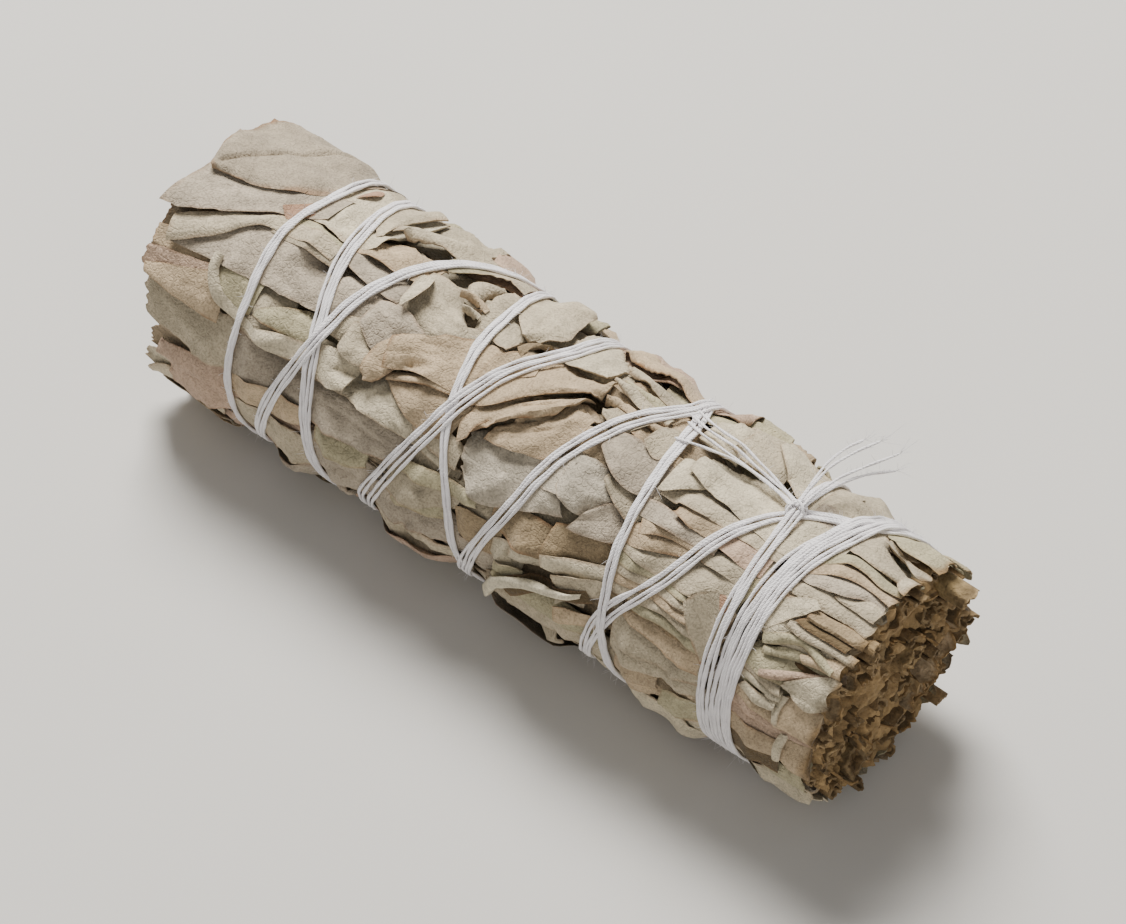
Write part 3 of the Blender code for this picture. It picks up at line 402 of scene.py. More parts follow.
    patch((18.6, 161.5, 13.8, 168, 9.9, 173.5, 6.5, 182, 3.6, 201), (18.6, 163.2, 14.3, 170.2, 10.6, 175.7,
          7.5, 184, 4.6, 202), "straw", roll=1.4, solid=True, tilt=0.0, gap=0.3, round=0.0, sway=0.0,
          margin=0.0, crinkle=0.05, pull=30, hug=0.0, thick=1.3),
    patch((-41.1, 125.5, -40.7, 132, -39.1, 138, -36.6, 142, -33.5, 144), (-42.1, 125.5, -41.8, 133, -40.0,
          140.4, -37.2, 145, -33.5, 147), "pale", roll=1.4, solid=True, tilt=0.0, gap=0.1, round=0.0,
          sway=0.0, margin=0.0, crinkle=0.05, pull=30, hug=0.0),
)

# Where leaves are laid by rule: spans of x and angle
UNDER_SPAN = (-46.0, 47.0)
HIDDEN_SPAN = (188.0, 412.0)
STALK_ZONE = (37.0, 52.0)
CUT_START_X = 49.8


# Numbers and noise

NOISE_TABLE = 48
NOISE_START = 1000.0


def bundle_radius(x):
    """The bundle's outer radius at x."""
    return np.interp(x, PROFILE_X, PROFILE_RADIUS)


def place(x, angle, radius):
    """World place, in millimetres, from x, angle and radius."""
    turn = np.radians(angle)
    y, z = radius * np.cos(turn), AXIS_HEIGHT + radius * np.sin(turn)
    return np.stack(np.broadcast_arrays(x, y, z), axis=-1)


def floor_radius(angle, height):
    """The radius at which an angle reaches a height below the axis. Without end on the upper side."""
    down = -np.sin(np.radians(angle))
    return np.where(down > 0.05, height / np.maximum(down, 0.05), np.inf)


def pick(chance, *names):
    """One of some names, drawn at random."""
    return names[int(chance.integers(len(names)))]


def smooth_step(low, high, value):
    """0 below low, 1 above high, and a smooth rise between them."""
    share = np.clip((value - low) / (high - low), 0.0, 1.0)
    return share * share * (3.0 - 2.0 * share)


def noise(a, b, seed):
    """A smooth random field from -1 to 1 over two coordinates: a seeded table of values, one to each whole
    number, blended between with a smooth step."""
    table = np.random.default_rng(seed).uniform(-1.0, 1.0, (NOISE_TABLE, NOISE_TABLE))
    a, b = np.broadcast_arrays(np.asarray(a, float) + NOISE_START, np.asarray(b, float) + NOISE_START)
    low_a, low_b = np.floor(a).astype(int), np.floor(b).astype(int)
    share_a, share_b = a - low_a, b - low_b
    share_a = share_a * share_a * (3.0 - 2.0 * share_a)
    share_b = share_b * share_b * (3.0 - 2.0 * share_b)
    a0, a1, b0, b1 = (index % NOISE_TABLE for index in (low_a, low_a + 1, low_b, low_b + 1))
    near = table[a0, b0] * (1 - share_a) + table[a1, b0] * share_a
    far = table[a0, b1] * (1 - share_a) + table[a1, b1] * share_a
    return near * (1 - share_b) + far * share_b


def ridged(a, b, seed):
    """A random field from 0 to 1 with sharp crests: 1 less the size of smooth noise."""
    return 1.0 - np.minimum(1.6 * np.abs(noise(a, b, seed)), 1.0)


def spread_max(grid, wrap):
    """Each cell takes the largest of itself and its four neighbours. With wrap, the second axis closes."""
    out = grid.copy()
    out[1:] = np.maximum(out[1:], grid[:-1])
    out[:-1] = np.maximum(out[:-1], grid[1:])
    if wrap:
        return np.maximum(out, np.maximum(np.roll(grid, 1, 1), np.roll(grid, -1, 1)))
    out[:, 1:] = np.maximum(out[:, 1:], grid[:, :-1])
    out[:, :-1] = np.maximum(out[:, :-1], grid[:, 1:])
    return out


def blur(grid, rounds, wrap):
    """Each round averages every cell with its neighbours along both axes."""
    for _ in range(rounds):
        padded = np.concatenate((grid[:1], grid, grid[-1:]), axis=0)
        grid = (padded[:-2] + 2 * grid + padded[2:]) / 4
        if wrap:
            grid = (np.roll(grid, 1, 1) + 2 * grid + np.roll(grid, -1, 1)) / 4
        else:
            padded = np.concatenate((grid[:, :1], grid, grid[:, -1:]), axis=1)
            grid = (padded[:, :-2] + 2 * grid + padded[:, 2:]) / 4
    return grid


# The stack of leaves

# The wrap's soft limits: how far under the profile leaves are filled and how far past it they may stand, how
# far they lie under the thread, the groove's steepness and half-width, and how softly each limit is neared
FILL_DEPTH = 0.35
PAST_PROFILE = 1.4
THREAD_GROOVE = 0.3
GROOVE_RISE = 0.16
GROOVE_HALF = 0.5
CAP_SOFTNESS = 0.55
FLOOR_SOFTNESS = 0.35
LEAF_FLOOR_GAP = 0.03
# How far the thread's distance is worked out, in cells
THREAD_REACH = 10


class Stack:
    """The height of the leaves laid so far, over a grid of x and angle."""

    def __init__(self):
        self.rows = int(round((STACK_X[1] - STACK_X[0]) / CELL)) + 1
        self.columns = int(round(math.tau * FLAT_RADIUS / CELL))
        self.height = np.zeros((self.rows, self.columns))
        self.x = STACK_X[0] + CELL * np.arange(self.rows)[:, None] + np.zeros((1, self.columns))
        self.angle = 360.0 * np.arange(self.columns)[None, :] / self.columns + np.zeros((self.rows, 1))

    def cells(self, x, angle):
        """Where places lie on the grid, as cell numbers with fractions."""
        return (np.asarray(x) - STACK_X[0]) / CELL, np.mod(angle, 360.0) / 360.0 * self.columns

    def read(self, grid, x, angle):
        """A grid's value at places, blended between its cells."""
        row, column = self.cells(x, angle)
        row = np.clip(row, 0, self.rows - 1.001)
        r0, c0 = row.astype(int), np.floor(column).astype(int)
        fr, fc = row - r0, column - c0
        c0, c1 = c0 % self.columns, (c0 + 1) % self.columns
        low = grid[r0, c0] * (1 - fc) + grid[r0, c1] * fc
        high = grid[r0 + 1, c0] * (1 - fc) + grid[r0 + 1, c1] * fc
        return low * (1 - fr) + high * fr

    def raise_to(self, x, angle, height):
        """Lifts the cells at places to at least a height."""
        row, column = self.cells(x, angle)
        row = np.clip(np.rint(row).astype(int), 0, self.rows - 1)
        column = np.rint(column).astype(int) % self.columns
        np.maximum.at(self.height, (row.ravel(), column.ravel()), height.ravel())


def outline(spec, share):
    """A leaf's half-width along its length as a share of the full one: it swells from the stem to the belly
    as a quarter of an ellipse, and closes to the tip as (1 - q squared) to a power."""
    belly = spec["belly"]
    rise = np.sqrt(np.clip(1.0 - (1.0 - share / belly) ** 2, 0.0, 1.0))
    fall = np.clip(1.0 - ((share - belly) / (1.0 - belly)) ** 2, 0.0, 1.0) ** spec["pointed"]
    before = spec["stem_share"] + (1.0 - spec["stem_share"]) * rise
    after = spec["tip_share"] + (1.0 - spec["tip_share"]) * fall
    return np.where(share < belly, before, after)


def own_height(spec, share, side, length, half, seed):
    """How far a leaf stands off what it lies on. It adds an arch (the root of 1 - side squared), a long side
    that lifts and rounds over (a sine), curled margins (side to the fifth), a raised tip, waves of ridged
    noise and a groove along the midrib."""
    along = share * length
    across = side * half
    arch = np.clip(1.0 - side * side, 0.0, 1.0)
    height = spec["roll"] * (np.sqrt(arch + 1e-3) if spec["solid"] else arch * (1.3 - 0.3 * arch))
    if spec["tilt"]:
        ramp = np.clip((side * np.sign(spec["tilt"]) + 0.45) / 1.45, 0.0, 1.0)
        body = np.sin(math.pi * np.clip(share, 0.03, 0.97)) ** 0.4
        height = height + abs(spec["tilt"]) * np.sin(ramp * math.pi * 0.58) * body
    wander = 0.65 + 0.35 * noise(along / 3.0, side * 0.9, seed + 1)
    height = height + spec["curl"] * np.abs(side) ** 5 * wander
    height = height + spec["lift"] * share**3
    slant = np.random.default_rng(seed + 2).uniform(-0.5, 0.5)
    fold = ridged((along + slant * across) / 6.5, (across - 0.35 * slant * along) / 2.6, seed + 2)
    wrinkle = ridged((along - slant * across) / 2.2, across / 1.4, seed + 3)
    grain = noise(along / 0.95, across / 0.95, seed + 11)
    height = height + spec["crinkle"] * (0.85 * fold + 0.3 * wrinkle + 0.07 * grain)
    if spec["pleat"]:
        wavering = across / 1.5 + 0.3 * noise(along / 5.0, 0.5, seed)
        height = height + spec["pleat"] * ridged(along / 14.0, wavering, seed + 12)
    if not spec["solid"]:
        height = height - spec["rib"] * np.exp(-((across / 0.35) ** 2)) * smooth_step(1.2, 2.0, half)
    return np.maximum(height, 0.0)


def smooth_line(points, count):
    """A smooth path through a few given points: a Catmull-Rom curve."""
    p = np.asarray(points, float)
    p = np.concatenate((2 * p[:1] - p[1:2], p, 2 * p[-1:] - p[-2:-1]))
    t = np.linspace(0, len(p) - 3 - 1e-6, count)
    k = t.astype(int)
    f = (t - k)[:, None]
    a, b, c, d = p[k], p[k + 1], p[k + 2], p[k + 3]
    return 0.5 * (2 * b + (c - a) * f + (2 * a - 5 * b + 4 * c - d) * f**2 + (3 * b - a - 3 * c + d) * f**3)


def grid_lines(length, width, step):
    """A leaf's grid lines: shares of its length as a column, and sides from -1 to 1 as a row."""
    rows = max(10, int(length / step) + 1)
    columns = max(7, int(width / step) // 2 * 2 + 1)
    return np.linspace(0.0, 1.0, rows)[:, None], np.linspace(-1.0, 1.0, columns)[None, :]


def ragged_share(spec, share, side, length, seed):
    """How much wider or narrower a torn margin makes a leaf."""
    return 1.0 + spec["ragged"] * (noise(share * length / 0.9, side * 1.5, seed + 4)
                                   + noise(share * length / 2.8, side, seed + 5))


def leaf_grid(spec, seed):
    """A plain leaf's grid: along its bowed axis, and across it by its outline."""
    stem_x, stem_angle = spec["stem"]
    tip_x, tip_angle = spec["tip"]
    run_x, run_arc = tip_x - stem_x, (tip_angle - stem_angle) * FLAT_DEGREE
    length = math.hypot(run_x, run_arc)
    share, side = grid_lines(length, spec["width"], spec["step"])
    half = spec["width"] / 2 * outline(spec, share)
    half = half * ragged_share(spec, share, side, length, seed)
    ux, uy = run_x / length, run_arc / length
    bow = spec["bend"] * 4.0 * share * (1.0 - share)
    lean = spec["bend"] * 4.0 * (1.0 - 2.0 * share) / length
    along = share * length - spec["torn"] * smooth_step(0.7, 1.0, share) * (
        1.0 + noise(side * spec["width"] / 1.6, 0.5, seed + 6))
    along = along + spec["frayed"] * smooth_step(0.25, 0.0, share) * (
        1.0 + noise(side * spec["width"] / 1.8, 0.5, seed + 13) + 0.8 * side**2)
    along = along - lean * side * half
    away = bow + side * half + spec["sway"] * noise(share * length / 3.2, 0.5, seed + 14)
    x = stem_x + ux * along - uy * away
    angle = stem_angle + (uy * along + ux * away) / FLAT_DEGREE
    return x, angle, share, side, length, half


def patch_grid(spec, seed):
    """A patch's grid: straight across between two smooth edges, each read at equal shares of its length."""
    lines = []
    for edge in spec["edges"]:
        line = smooth_line(edge, 60) * (1.0, FLAT_DEGREE)
        run = np.concatenate(([0.0], np.cumsum(np.hypot(*np.diff(line, axis=0).T))))
        lines.append((line, run))
    length = max(run[-1] for _, run in lines)
    width = max(np.hypot(*(lines[0][0][at] - lines[1][0][at])) for at in (0, 15, 30, 45, 59))
    share, side = grid_lines(length, width, spec["step"])
    torn = spec["torn"] * smooth_step(0.7, 1.0, share) * (1.0 + noise(side * width / 1.6, 0.5, seed + 6))
    frayed = spec["frayed"] * smooth_step(0.3, 0.0, share) * (1.0 + noise(side * width / 3.5, 0.3, seed + 13))
    at = np.clip(share + (frayed - torn) / length, 0.0, 1.0)
    upper, lower = (np.stack([np.interp(at, run / run[-1], line[:, k]) for k in (0, 1)], -1)
                    for line, run in lines)
    ends = np.maximum(smooth_step(0.12, 0.0, share) * 0.5, smooth_step(0.8, 1.0, share) ** 2)
    spread = (1.0 - spec["round"] * ends) * ragged_share(spec, share, side, length, seed)
    spread = spread + 0.5 / max(width, 1.5)
    flat = (upper + lower) / 2 + (upper - lower) / 2 * (side * spread)[..., None]
    flat[..., 1] += spec["sway"] * noise(flat[..., 0] / 3.2, 0.5, seed + 14)
    rows, middle = len(share), side.shape[1] // 2
    down, over = flat[-1, middle] - flat[0, middle], flat[rows // 2, -1] - flat[rows // 2, 0]
    if down[0] * over[1] - down[1] * over[0] < 0:
        flat = flat[:, ::-1]
        side = -side[:, ::-1] if spec["tilt"] == 0 else side[:, ::-1]
    half = np.linalg.norm(upper - lower, axis=-1)[:, middle:middle + 1] / 2 * np.ones_like(share)
    return flat[..., 0], flat[..., 1] / FLAT_DEGREE, share, side, length, np.maximum(half, 0.2)


def lay(stack, spec, seed, thickness):
    """Drapes one leaf over the stack. The height under it is spread and then pulled taut, by taking again and
    again the larger of what is under it and its own average."""
    x, angle, share, side, length, half = (patch_grid if "edges" in spec else leaf_grid)(spec, seed)
    under = stack.read(stack.height, np.clip(x, *HELD_X), angle)
    under = spread_max(under, False)
    taut = under
    for _ in range(int(spec["pull"] * (LEAF_STEP / spec["step"]) ** 2)):
        taut = np.maximum(under, blur(taut, 1, False))
    taut = taut + (under - taut) * spec["hug"] * smooth_step(0.1, 1.0, np.abs(side))
    own = own_height(spec, share, side, length, half, seed)
    sheet = thickness * spec["thick"] * (1.0 - 0.45 * np.abs(side) ** 3)
    if spec["solid"]:
        bottom = taut + spec["gap"]
        top = bottom + own + sheet
    else:
        bottom = taut + spec["gap"] + own
        top = bottom + sheet
    stack.raise_to(x, angle, top)
    between = [(grid[1:, 1:] + grid[:-1, :-1]) / 2 for grid in (x, angle, top)]
    stack.raise_to(*between)

    edge = np.maximum(np.abs(side) + 0.0 * share, smooth_step(0.86, 1.0, share))
    return {
        "x": x, "angle": angle, "top": top, "bottom": bottom, "edge": edge, "spec": spec, "seed": seed,
        "along": share * length + 0.0 * side, "across": side * half,
    }


def under_leaves(chance):
    """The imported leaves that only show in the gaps: long strips all round, then two loose layers."""
    made = []
    low, high = UNDER_SPAN
    for step in range(16):
        angle = 22.5 * step + chance.uniform(-3, 3)
        made.append(leaf((high, angle), (low, angle + chance.uniform(-12, 12)), 8.5, "brown", stem_share=0.9,
                         tip_share=0.8, gap=0.0, curl=0.1, crinkle=0.2, step=1.1))
    for _ in range(2):
        for row in range(5):
            for step in range(12):
                x = low + 10.0 + row * 17.5 + chance.uniform(-4, 4)
                angle = 360.0 * (step + 0.5 * (row % 2)) / 12 + chance.uniform(-8, 8)
                length = chance.uniform(16, 24)
                tone = pick(chance, "mid", "dark", "green", "tan")
                made.append(leaf((x + length / 2, angle - chance.uniform(-8, 14)),
                                 (x - length / 2, angle + chance.uniform(-8, 14)), chance.uniform(6, 9), tone,
                                 tilt=chance.uniform(-0.8, 0.8), crinkle=0.5, gap=0.05, step=0.9))
    return made


def free_tips(chance):
    """The leaf tips that stand free at the open end, in three layers all round."""
    made = []
    for layer, (count, reach) in enumerate(((13, -49.5), (14, -50.5), (13, -51.5))):
        for step in range(count):
            angle = 360.0 * (step + 0.4 * layer + chance.uniform(-0.25, 0.25)) / count
            tone = pick(chance, "mid", "green", "tan", "pale", "pink", "brown")
            made.append(leaf((-30.0 - chance.uniform(0, 5), angle - chance.uniform(-4, 9)),
                             (reach + chance.uniform(-0.5, 3.5), angle + chance.uniform(-3, 8)),
                             chance.uniform(6.5, 9.5), tone, tilt=chance.uniform(-0.9, 0.9),
                             roll=chance.uniform(0.0, 0.6), tip_share=chance.uniform(0.1, 0.5),
                             torn=chance.uniform(0.2, 0.9), ragged=0.06, crinkle=0.35, step=0.62))
    return made


def stalk_end_leaves(chance):
    """Leaf stems and narrow folded leaves that run out to the cut, in two layers, and paler ones on top."""
    made = []
    start, end = STALK_ZONE
    for layer, (count, width, height) in enumerate(((30, 3.4, 1.1), (26, 3.4, 1.0))):
        for step in range(count):
            angle = 360.0 * (step + 0.5 * layer + chance.uniform(-0.25, 0.25)) / count
            stem_x = end - chance.uniform(0.2, 2.2) - 0.5 * layer
            tip_x = start - chance.uniform(0.0, 5.0)
            tone = pick(chance, "mid", "green", "tan", "grey", "brown")
            made.append(leaf((stem_x, angle), (tip_x, angle + chance.uniform(-5, 9)),
                             width * chance.uniform(0.7, 1.2), tone, roll=height * chance.uniform(0.7, 1.2),
                             solid=bool(chance.uniform() < 0.6), stem_share=0.95, tip_share=0.5, crinkle=0.25,
                             ragged=0.05, margin=0.3, thick=1.2, step=0.55, frayed=0.8))
    for step in range(22):
        angle = 360.0 * (step + chance.uniform(-0.35, 0.35)) / 22
        stem_x = end - chance.uniform(0.4, 3.5)
        tone = pick(chance, "pale", "mid", "green", "tan")
        made.append(leaf((stem_x, angle), (start - chance.uniform(-3.0, 3.0), angle + chance.uniform(-9, 12)),
                         chance.uniform(2.6, 5.2), tone, roll=chance.uniform(0.2, 0.8),
                         tilt=chance.uniform(-0.9, 0.9), stem_share=0.9, tip_share=0.35, crinkle=0.35,
                         curl=0.4, bend=chance.uniform(-0.6, 0.6), pleat=0.35, frayed=0.8))
    return made


def hidden_leaves(chance):
    """The outer leaves of the sides that the photograph doesn't show."""
    made = []
    low, high = HIDDEN_SPAN
    for row in range(6):
        for step in range(12):
            x = 36.0 - row * 15.0 + chance.uniform(-4, 4)
            angle = low + (high - low) * (step + 0.5 * (row % 2) + chance.uniform(-0.2, 0.4)) / 12
            length = chance.uniform(13, 25)
            turn = chance.uniform(-10, 26)
            tone = pick(chance, "pale", "mid", "green", "grey", "tan", "mid", "pink")
            tip_x = max(x - length / 2, -52.0)
            made.append(leaf((min(x + length / 2, 43.0), angle - turn / 2), (tip_x, angle + turn / 2),
                             chance.uniform(4.0, 9.5), tone, tilt=chance.uniform(-0.8, 0.8),
                             roll=chance.uniform(0.0, 0.7), crinkle=chance.uniform(0.15, 0.5),
                             bend=chance.uniform(-0.8, 0.8), tip_share=chance.uniform(0.05, 0.5),
                             ragged=chance.uniform(0.02, 0.08), pleat=chance.uniform(0.0, 0.5),
                             step=COARSE_STEP))
    for step in range(14):
        angle = low + (high - low) * step / 14 + chance.uniform(-3, 3)
        tone = pick(chance, "pale", "mid", "green", "tan")
        made.append(leaf((-34.0 - chance.uniform(0, 5), angle - 4), (-52.4 + chance.uniform(0, 3), angle + 4),
                         chance.uniform(5.0, 9.0), tone, tilt=chance.uniform(-0.8, 0.8), torn=0.5,
                         roll=chance.uniform(0.1, 0.6), tip_share=chance.uniform(0.1, 0.4), lift=0.3,
                         step=COARSE_STEP))
    return made


def soft_cap(value, limit, softness):
    """Keeps a value under a limit: unchanged well below it, and nearing it ever more slowly above."""
    start = limit - softness
    over = np.maximum(value - start, 0.0)
    return np.where(value > start, limit - softness * np.exp(-over / softness), value)


def thread_radius(x, angle):
    """The thread's middle radius: sunk into the leaves, and clear of the surface below."""
    height = AXIS_HEIGHT - THREAD_THICKNESS / 2 - FLOOR_CLEARANCE
    return np.minimum(bundle_radius(x) - THREAD_DEPTH, floor_radius(angle, height))


class Packing:
    """The finished stack and the rule that wraps it round the axis."""

    def __init__(self, thickness):
        chance = np.random.default_rng(5)
        self.stack = Stack()
        specs = under_leaves(chance) + free_tips(chance) + stalk_end_leaves(chance) + hidden_leaves(chance)
        specs += list(SHOWN_LEAVES)
        self.leaves = [lay(self.stack, spec, 31 * number, thickness) for number, spec in enumerate(specs)]
        self.distance = self.thread_distance()
        held = np.clip(self.stack.x, *HELD_X)
        filled = self.stack.read(self.stack.height, held, self.stack.angle)
        self.mean = blur(np.maximum(filled, 1.0), 90, True)
        self.surface = self.wrap(self.stack.x, self.stack.angle,
                                 self.stack.read(self.stack.height, self.stack.x, self.stack.angle))
        # The smoothed outer surface: how deep a leaf lies below it sets its painted shade
        held = np.clip(self.stack.x, -46.0, 46.0)
        outside = self.stack.read(self.surface, held, self.stack.angle)
        for _ in range(4):
            outside = spread_max(outside, True)
        self.outside = blur(outside, 12, True)

    def thread_distance(self):
        """Each cell's distance to the nearest pass of the thread, up to a few millimetres."""
        stack = self.stack
        turns, places, _ = winding()
        at = np.arange(turns[0], turns[-1], 1.0)
        xs = smooth_through(at, turns, places)
        offsets = np.arange(-THREAD_REACH, THREAD_REACH + 1)
        row, column = stack.cells(xs, at)
        rows = np.clip(np.rint(row).astype(int)[:, None, None] + offsets[None, :, None], 0, stack.rows - 1)
        columns = np.rint(column).astype(int)[:, None, None] + offsets[None, None, :]
        apart = np.hypot((rows - row[:, None, None]) * CELL, (columns - column[:, None, None]) * CELL)
        rows, columns = np.broadcast_arrays(rows, columns % stack.columns)
        distance = np.full(stack.height.shape, THREAD_REACH * CELL)
        np.minimum.at(distance, (rows.ravel(), columns.ravel()), apart.ravel())
        return blur(distance, 1, True)

    def wrap(self, x, angle, height):
        """Radius from a height in the stack. The stack's mean height is scaled to fill the space between the
        inner radius and the bundle's profile, then pressed in under the thread and flat on the surface."""
        radius = bundle_radius(x)
        mean = self.stack.read(self.mean, x, angle)
        space = radius - FILL_DEPTH - INNER_RADIUS
        flat = INNER_RADIUS + height * space / mean
        apart = self.stack.read(self.distance, x, angle)
        groove = GROOVE_RISE * np.maximum(apart - GROOVE_HALF, 0.0) ** 2
        under_thread = thread_radius(x, angle) - THREAD_GROOVE + groove
        pressed = soft_cap(flat, np.minimum(under_thread, radius + PAST_PROFILE), CAP_SOFTNESS)
        return soft_cap(pressed, floor_radius(angle, AXIS_HEIGHT - LEAF_FLOOR_GAP), FLOOR_SOFTNESS)


# Meshes

UNDERSIDE_SHADE = 0.7


def grid_faces(rows, columns):
    """Four-cornered faces of a grid of points, counted row by row."""
    number = np.arange(rows * columns).reshape(rows, columns)
    return np.stack((number[:-1, :-1], number[:-1, 1:], number[1:, 1:], number[1:, :-1]), -1).reshape(-1, 4)


def blade_faces(rows, columns):
    """Faces of a closed blade whose top grid is followed by its bottom one: top, bottom turned round, rim."""
    number = np.arange(rows * columns).reshape(rows, columns)
    under = rows * columns
    ring = np.concatenate((number[0, :], number[1:, -1], number[-1, -2::-1], number[-2:0:-1, 0]))
    onward = np.roll(ring, -1)
    top = grid_faces(rows, columns)
    rim = np.stack((onward, ring, ring + under, onward + under), -1)
    return np.concatenate((top, top[:, ::-1] + under, rim))


def make_piece(name, points, faces, tones, uvs, sharp=50.0):
    """A mesh object from points in millimetres, with a tone for each point and a place on the leaf or thread
    (in centimetres) as its UV map."""
    mesh = bpy.data.meshes.new(name)
    points = np.asarray(points, np.float32)
    mesh.vertices.add(len(points))
    mesh.vertices.foreach_set("co", (points * MM).ravel())
    mesh.loops.add(faces.size)
    mesh.loops.foreach_set("vertex_index", faces.astype(np.int32).ravel())
    mesh.polygons.add(len(faces))
    mesh.polygons.foreach_set("loop_start", np.arange(0, faces.size, 4, dtype=np.int32))
    mesh.update(calc_edges=True)
    colours = mesh.attributes.new("tone", "FLOAT_COLOR", "POINT")
    four = np.ones((len(points), 4), np.float32)
    four[:, :3] = tones
    colours.data.foreach_set("color", four.ravel())
    layer = mesh.uv_layers.new(name="surface")
    layer.data.foreach_set("uv", np.asarray(uvs, np.float32)[faces.ravel()].ravel())
    mesh.shade_smooth()
    if sharp:
        mesh.set_sharp_from_angle(angle=math.radians(sharp))
    mesh.validate()
    item = bpy.data.objects.new(name, mesh)
    bpy.context.scene.collection.objects.link(item)
    return item


def join_parts(parts):
    """Points, faces, tones and UVs of many parts as one set."""
    counts = np.cumsum([0] + [len(part[0]) for part in parts])
    return (
        np.concatenate([part[0] for part in parts]),
        np.concatenate([part[1] + start for part, start in zip(parts, counts)]),
        np.concatenate([part[2] for part in parts]),
        np.concatenate([part[3] for part in parts]),
    )


def leaf_tones(packing, laid, radius):
    """A leaf's colour over its grid: its own tone, blotched, with a browner margin and a brown cut, and
    painted shade that darkens it where it lies deep below the leaves around it."""
    spec, seed = laid["spec"], laid["seed"]
    along, across = laid["along"], laid["across"]
    chance = np.random.default_rng(seed + 9)
    base = np.array(TONES[spec["tone"]]) * chance.uniform(0.9, 1.1)
    blotch = 1.0 + 0.10 * noise(along / 3.0, across / 3.0, seed + 7)
    blotch = blotch + 0.05 * noise(along / 0.9, across / 0.9, seed + 8)
    tones = base * blotch[..., None]
    margin = spec["margin"] * smooth_step(0.86, 1.0, laid["edge"]) * (
        0.5 + 0.5 * noise(along / 2.0, across, seed + 10))
    tones = tones + (np.array(MARGIN) - tones) * margin[..., None]
    ragged = laid["x"] + 0.6 * noise(laid["angle"] / 5.0, along / 2.0, 77)
    cut = smooth_step(CUT_START_X, CUT_START_X + 1.6, ragged)
    darker = np.array(CUT_BROWN) * (0.75 + 0.4 * noise(laid["angle"] / 4.0, along / 1.0, 78))[..., None]
    tones = tones + (darker - tones) * cut[..., None]
    # Painted shade: darker the deeper the leaf lies below the smoothed outer surface, less so at the cut
    depth = packing.stack.read(packing.outside, laid["x"], laid["angle"]) - radius
    return tones * (1.0 - 0.5 * smooth_step(0.9, 2.5, depth) * (1.0 - 0.6 * cut))[..., None]


def uv_rows(first, second):
    """Two arrays over one grid, as rows of UV pairs."""
    return np.stack(np.broadcast_arrays(first, second), -1).reshape(-1, 2)


def twice(rows):
    """Rows for a blade's top, and the same again for its bottom."""
    return np.concatenate((rows, rows))


def shell_points(x, angles, radii, thickness):
    """The points of a blade's two sides, half a thickness outside and inside its radii."""
    return np.concatenate([place(x, angles, radii + away).reshape(-1, 3)
                           for away in (thickness / 2, -thickness / 2)])


def leaf_part(packing, laid):
    """One leaf's points, faces, tones and UVs."""
    rows, columns = laid["x"].shape
    top = packing.wrap(laid["x"], laid["angle"], laid["top"])
    bottom = packing.wrap(laid["x"], laid["angle"], laid["bottom"])
    points = np.concatenate([place(laid["x"], laid["angle"], r).reshape(-1, 3) for r in (top, bottom)])
    tones = leaf_tones(packing, laid, top).reshape(-1, 3)
    tones = np.concatenate((tones, tones * UNDERSIDE_SHADE))
    uv = uv_rows(laid["along"], laid["across"]) / 10.0 + 0.37 * (laid["seed"] % 17)
    return points, blade_faces(rows, columns), tones, twice(uv)


def edge_angle(index, x):
    """The angle of an edge between two sprigs, at x. The last edge leads on to the first, a turn later."""
    turns, edge = divmod(index, len(SPRIG_EDGES))
    xs, angles = zip(*SPRIG_EDGES[edge])
    return float(np.interp(x, xs, angles)) + 360.0 * turns


def sprig_of(x, angle):
    """The number of the outer sprig whose span holds a place."""
    for index in range(len(SPRIG_EDGES)):
        low, high = edge_angle(index, x), edge_angle(index + 1, x)
        if any(low <= angle + turn < high for turn in (-360.0, 0.0, 360.0)):
            return index
    return 0


# The thread

STRANDS = 4
ROUTE_STEP = 0.45
# The angle at which one pass ends and the next one begins
PASS_START = 20.0
# The knot's loops: half-width, half-height and lean of each
KNOT_LOOPS = ((1.15, 0.62, 0.5), (1.0, 0.75, -0.35), (1.25, 0.5, 1.2))
# Tails: thickness as a share of a strand's, and the fibres that each standing one frays into
TAIL_SHARE = 0.8
END_FIBRES = 9
FIBRE_RADIUS = 0.018


def winding():
    """The whole route as three rows: the turn so far, x and the band's width."""
    rows = [(angle + 360.0 * index, x, width)
            for index, (width, passage) in enumerate(PASSES) for angle, x in passage]
    return tuple(np.array(column, float) for column in zip(*rows))


def smooth_through(at, turns, places):
    """A smooth curve through given points, with each point's slope read from its neighbours."""
    slopes = np.gradient(places, turns)
    index = np.clip(np.searchsorted(turns, at) - 1, 0, len(turns) - 2)
    span = turns[index + 1] - turns[index]
    s = (at - turns[index]) / span
    return (
        (2 * s**3 - 3 * s**2 + 1) * places[index]
        + (s**3 - 2 * s**2 + s) * span * slopes[index]
        + (3 * s**2 - 2 * s**3) * places[index + 1]
        + (s**3 - s**2) * span * slopes[index + 1]
    )


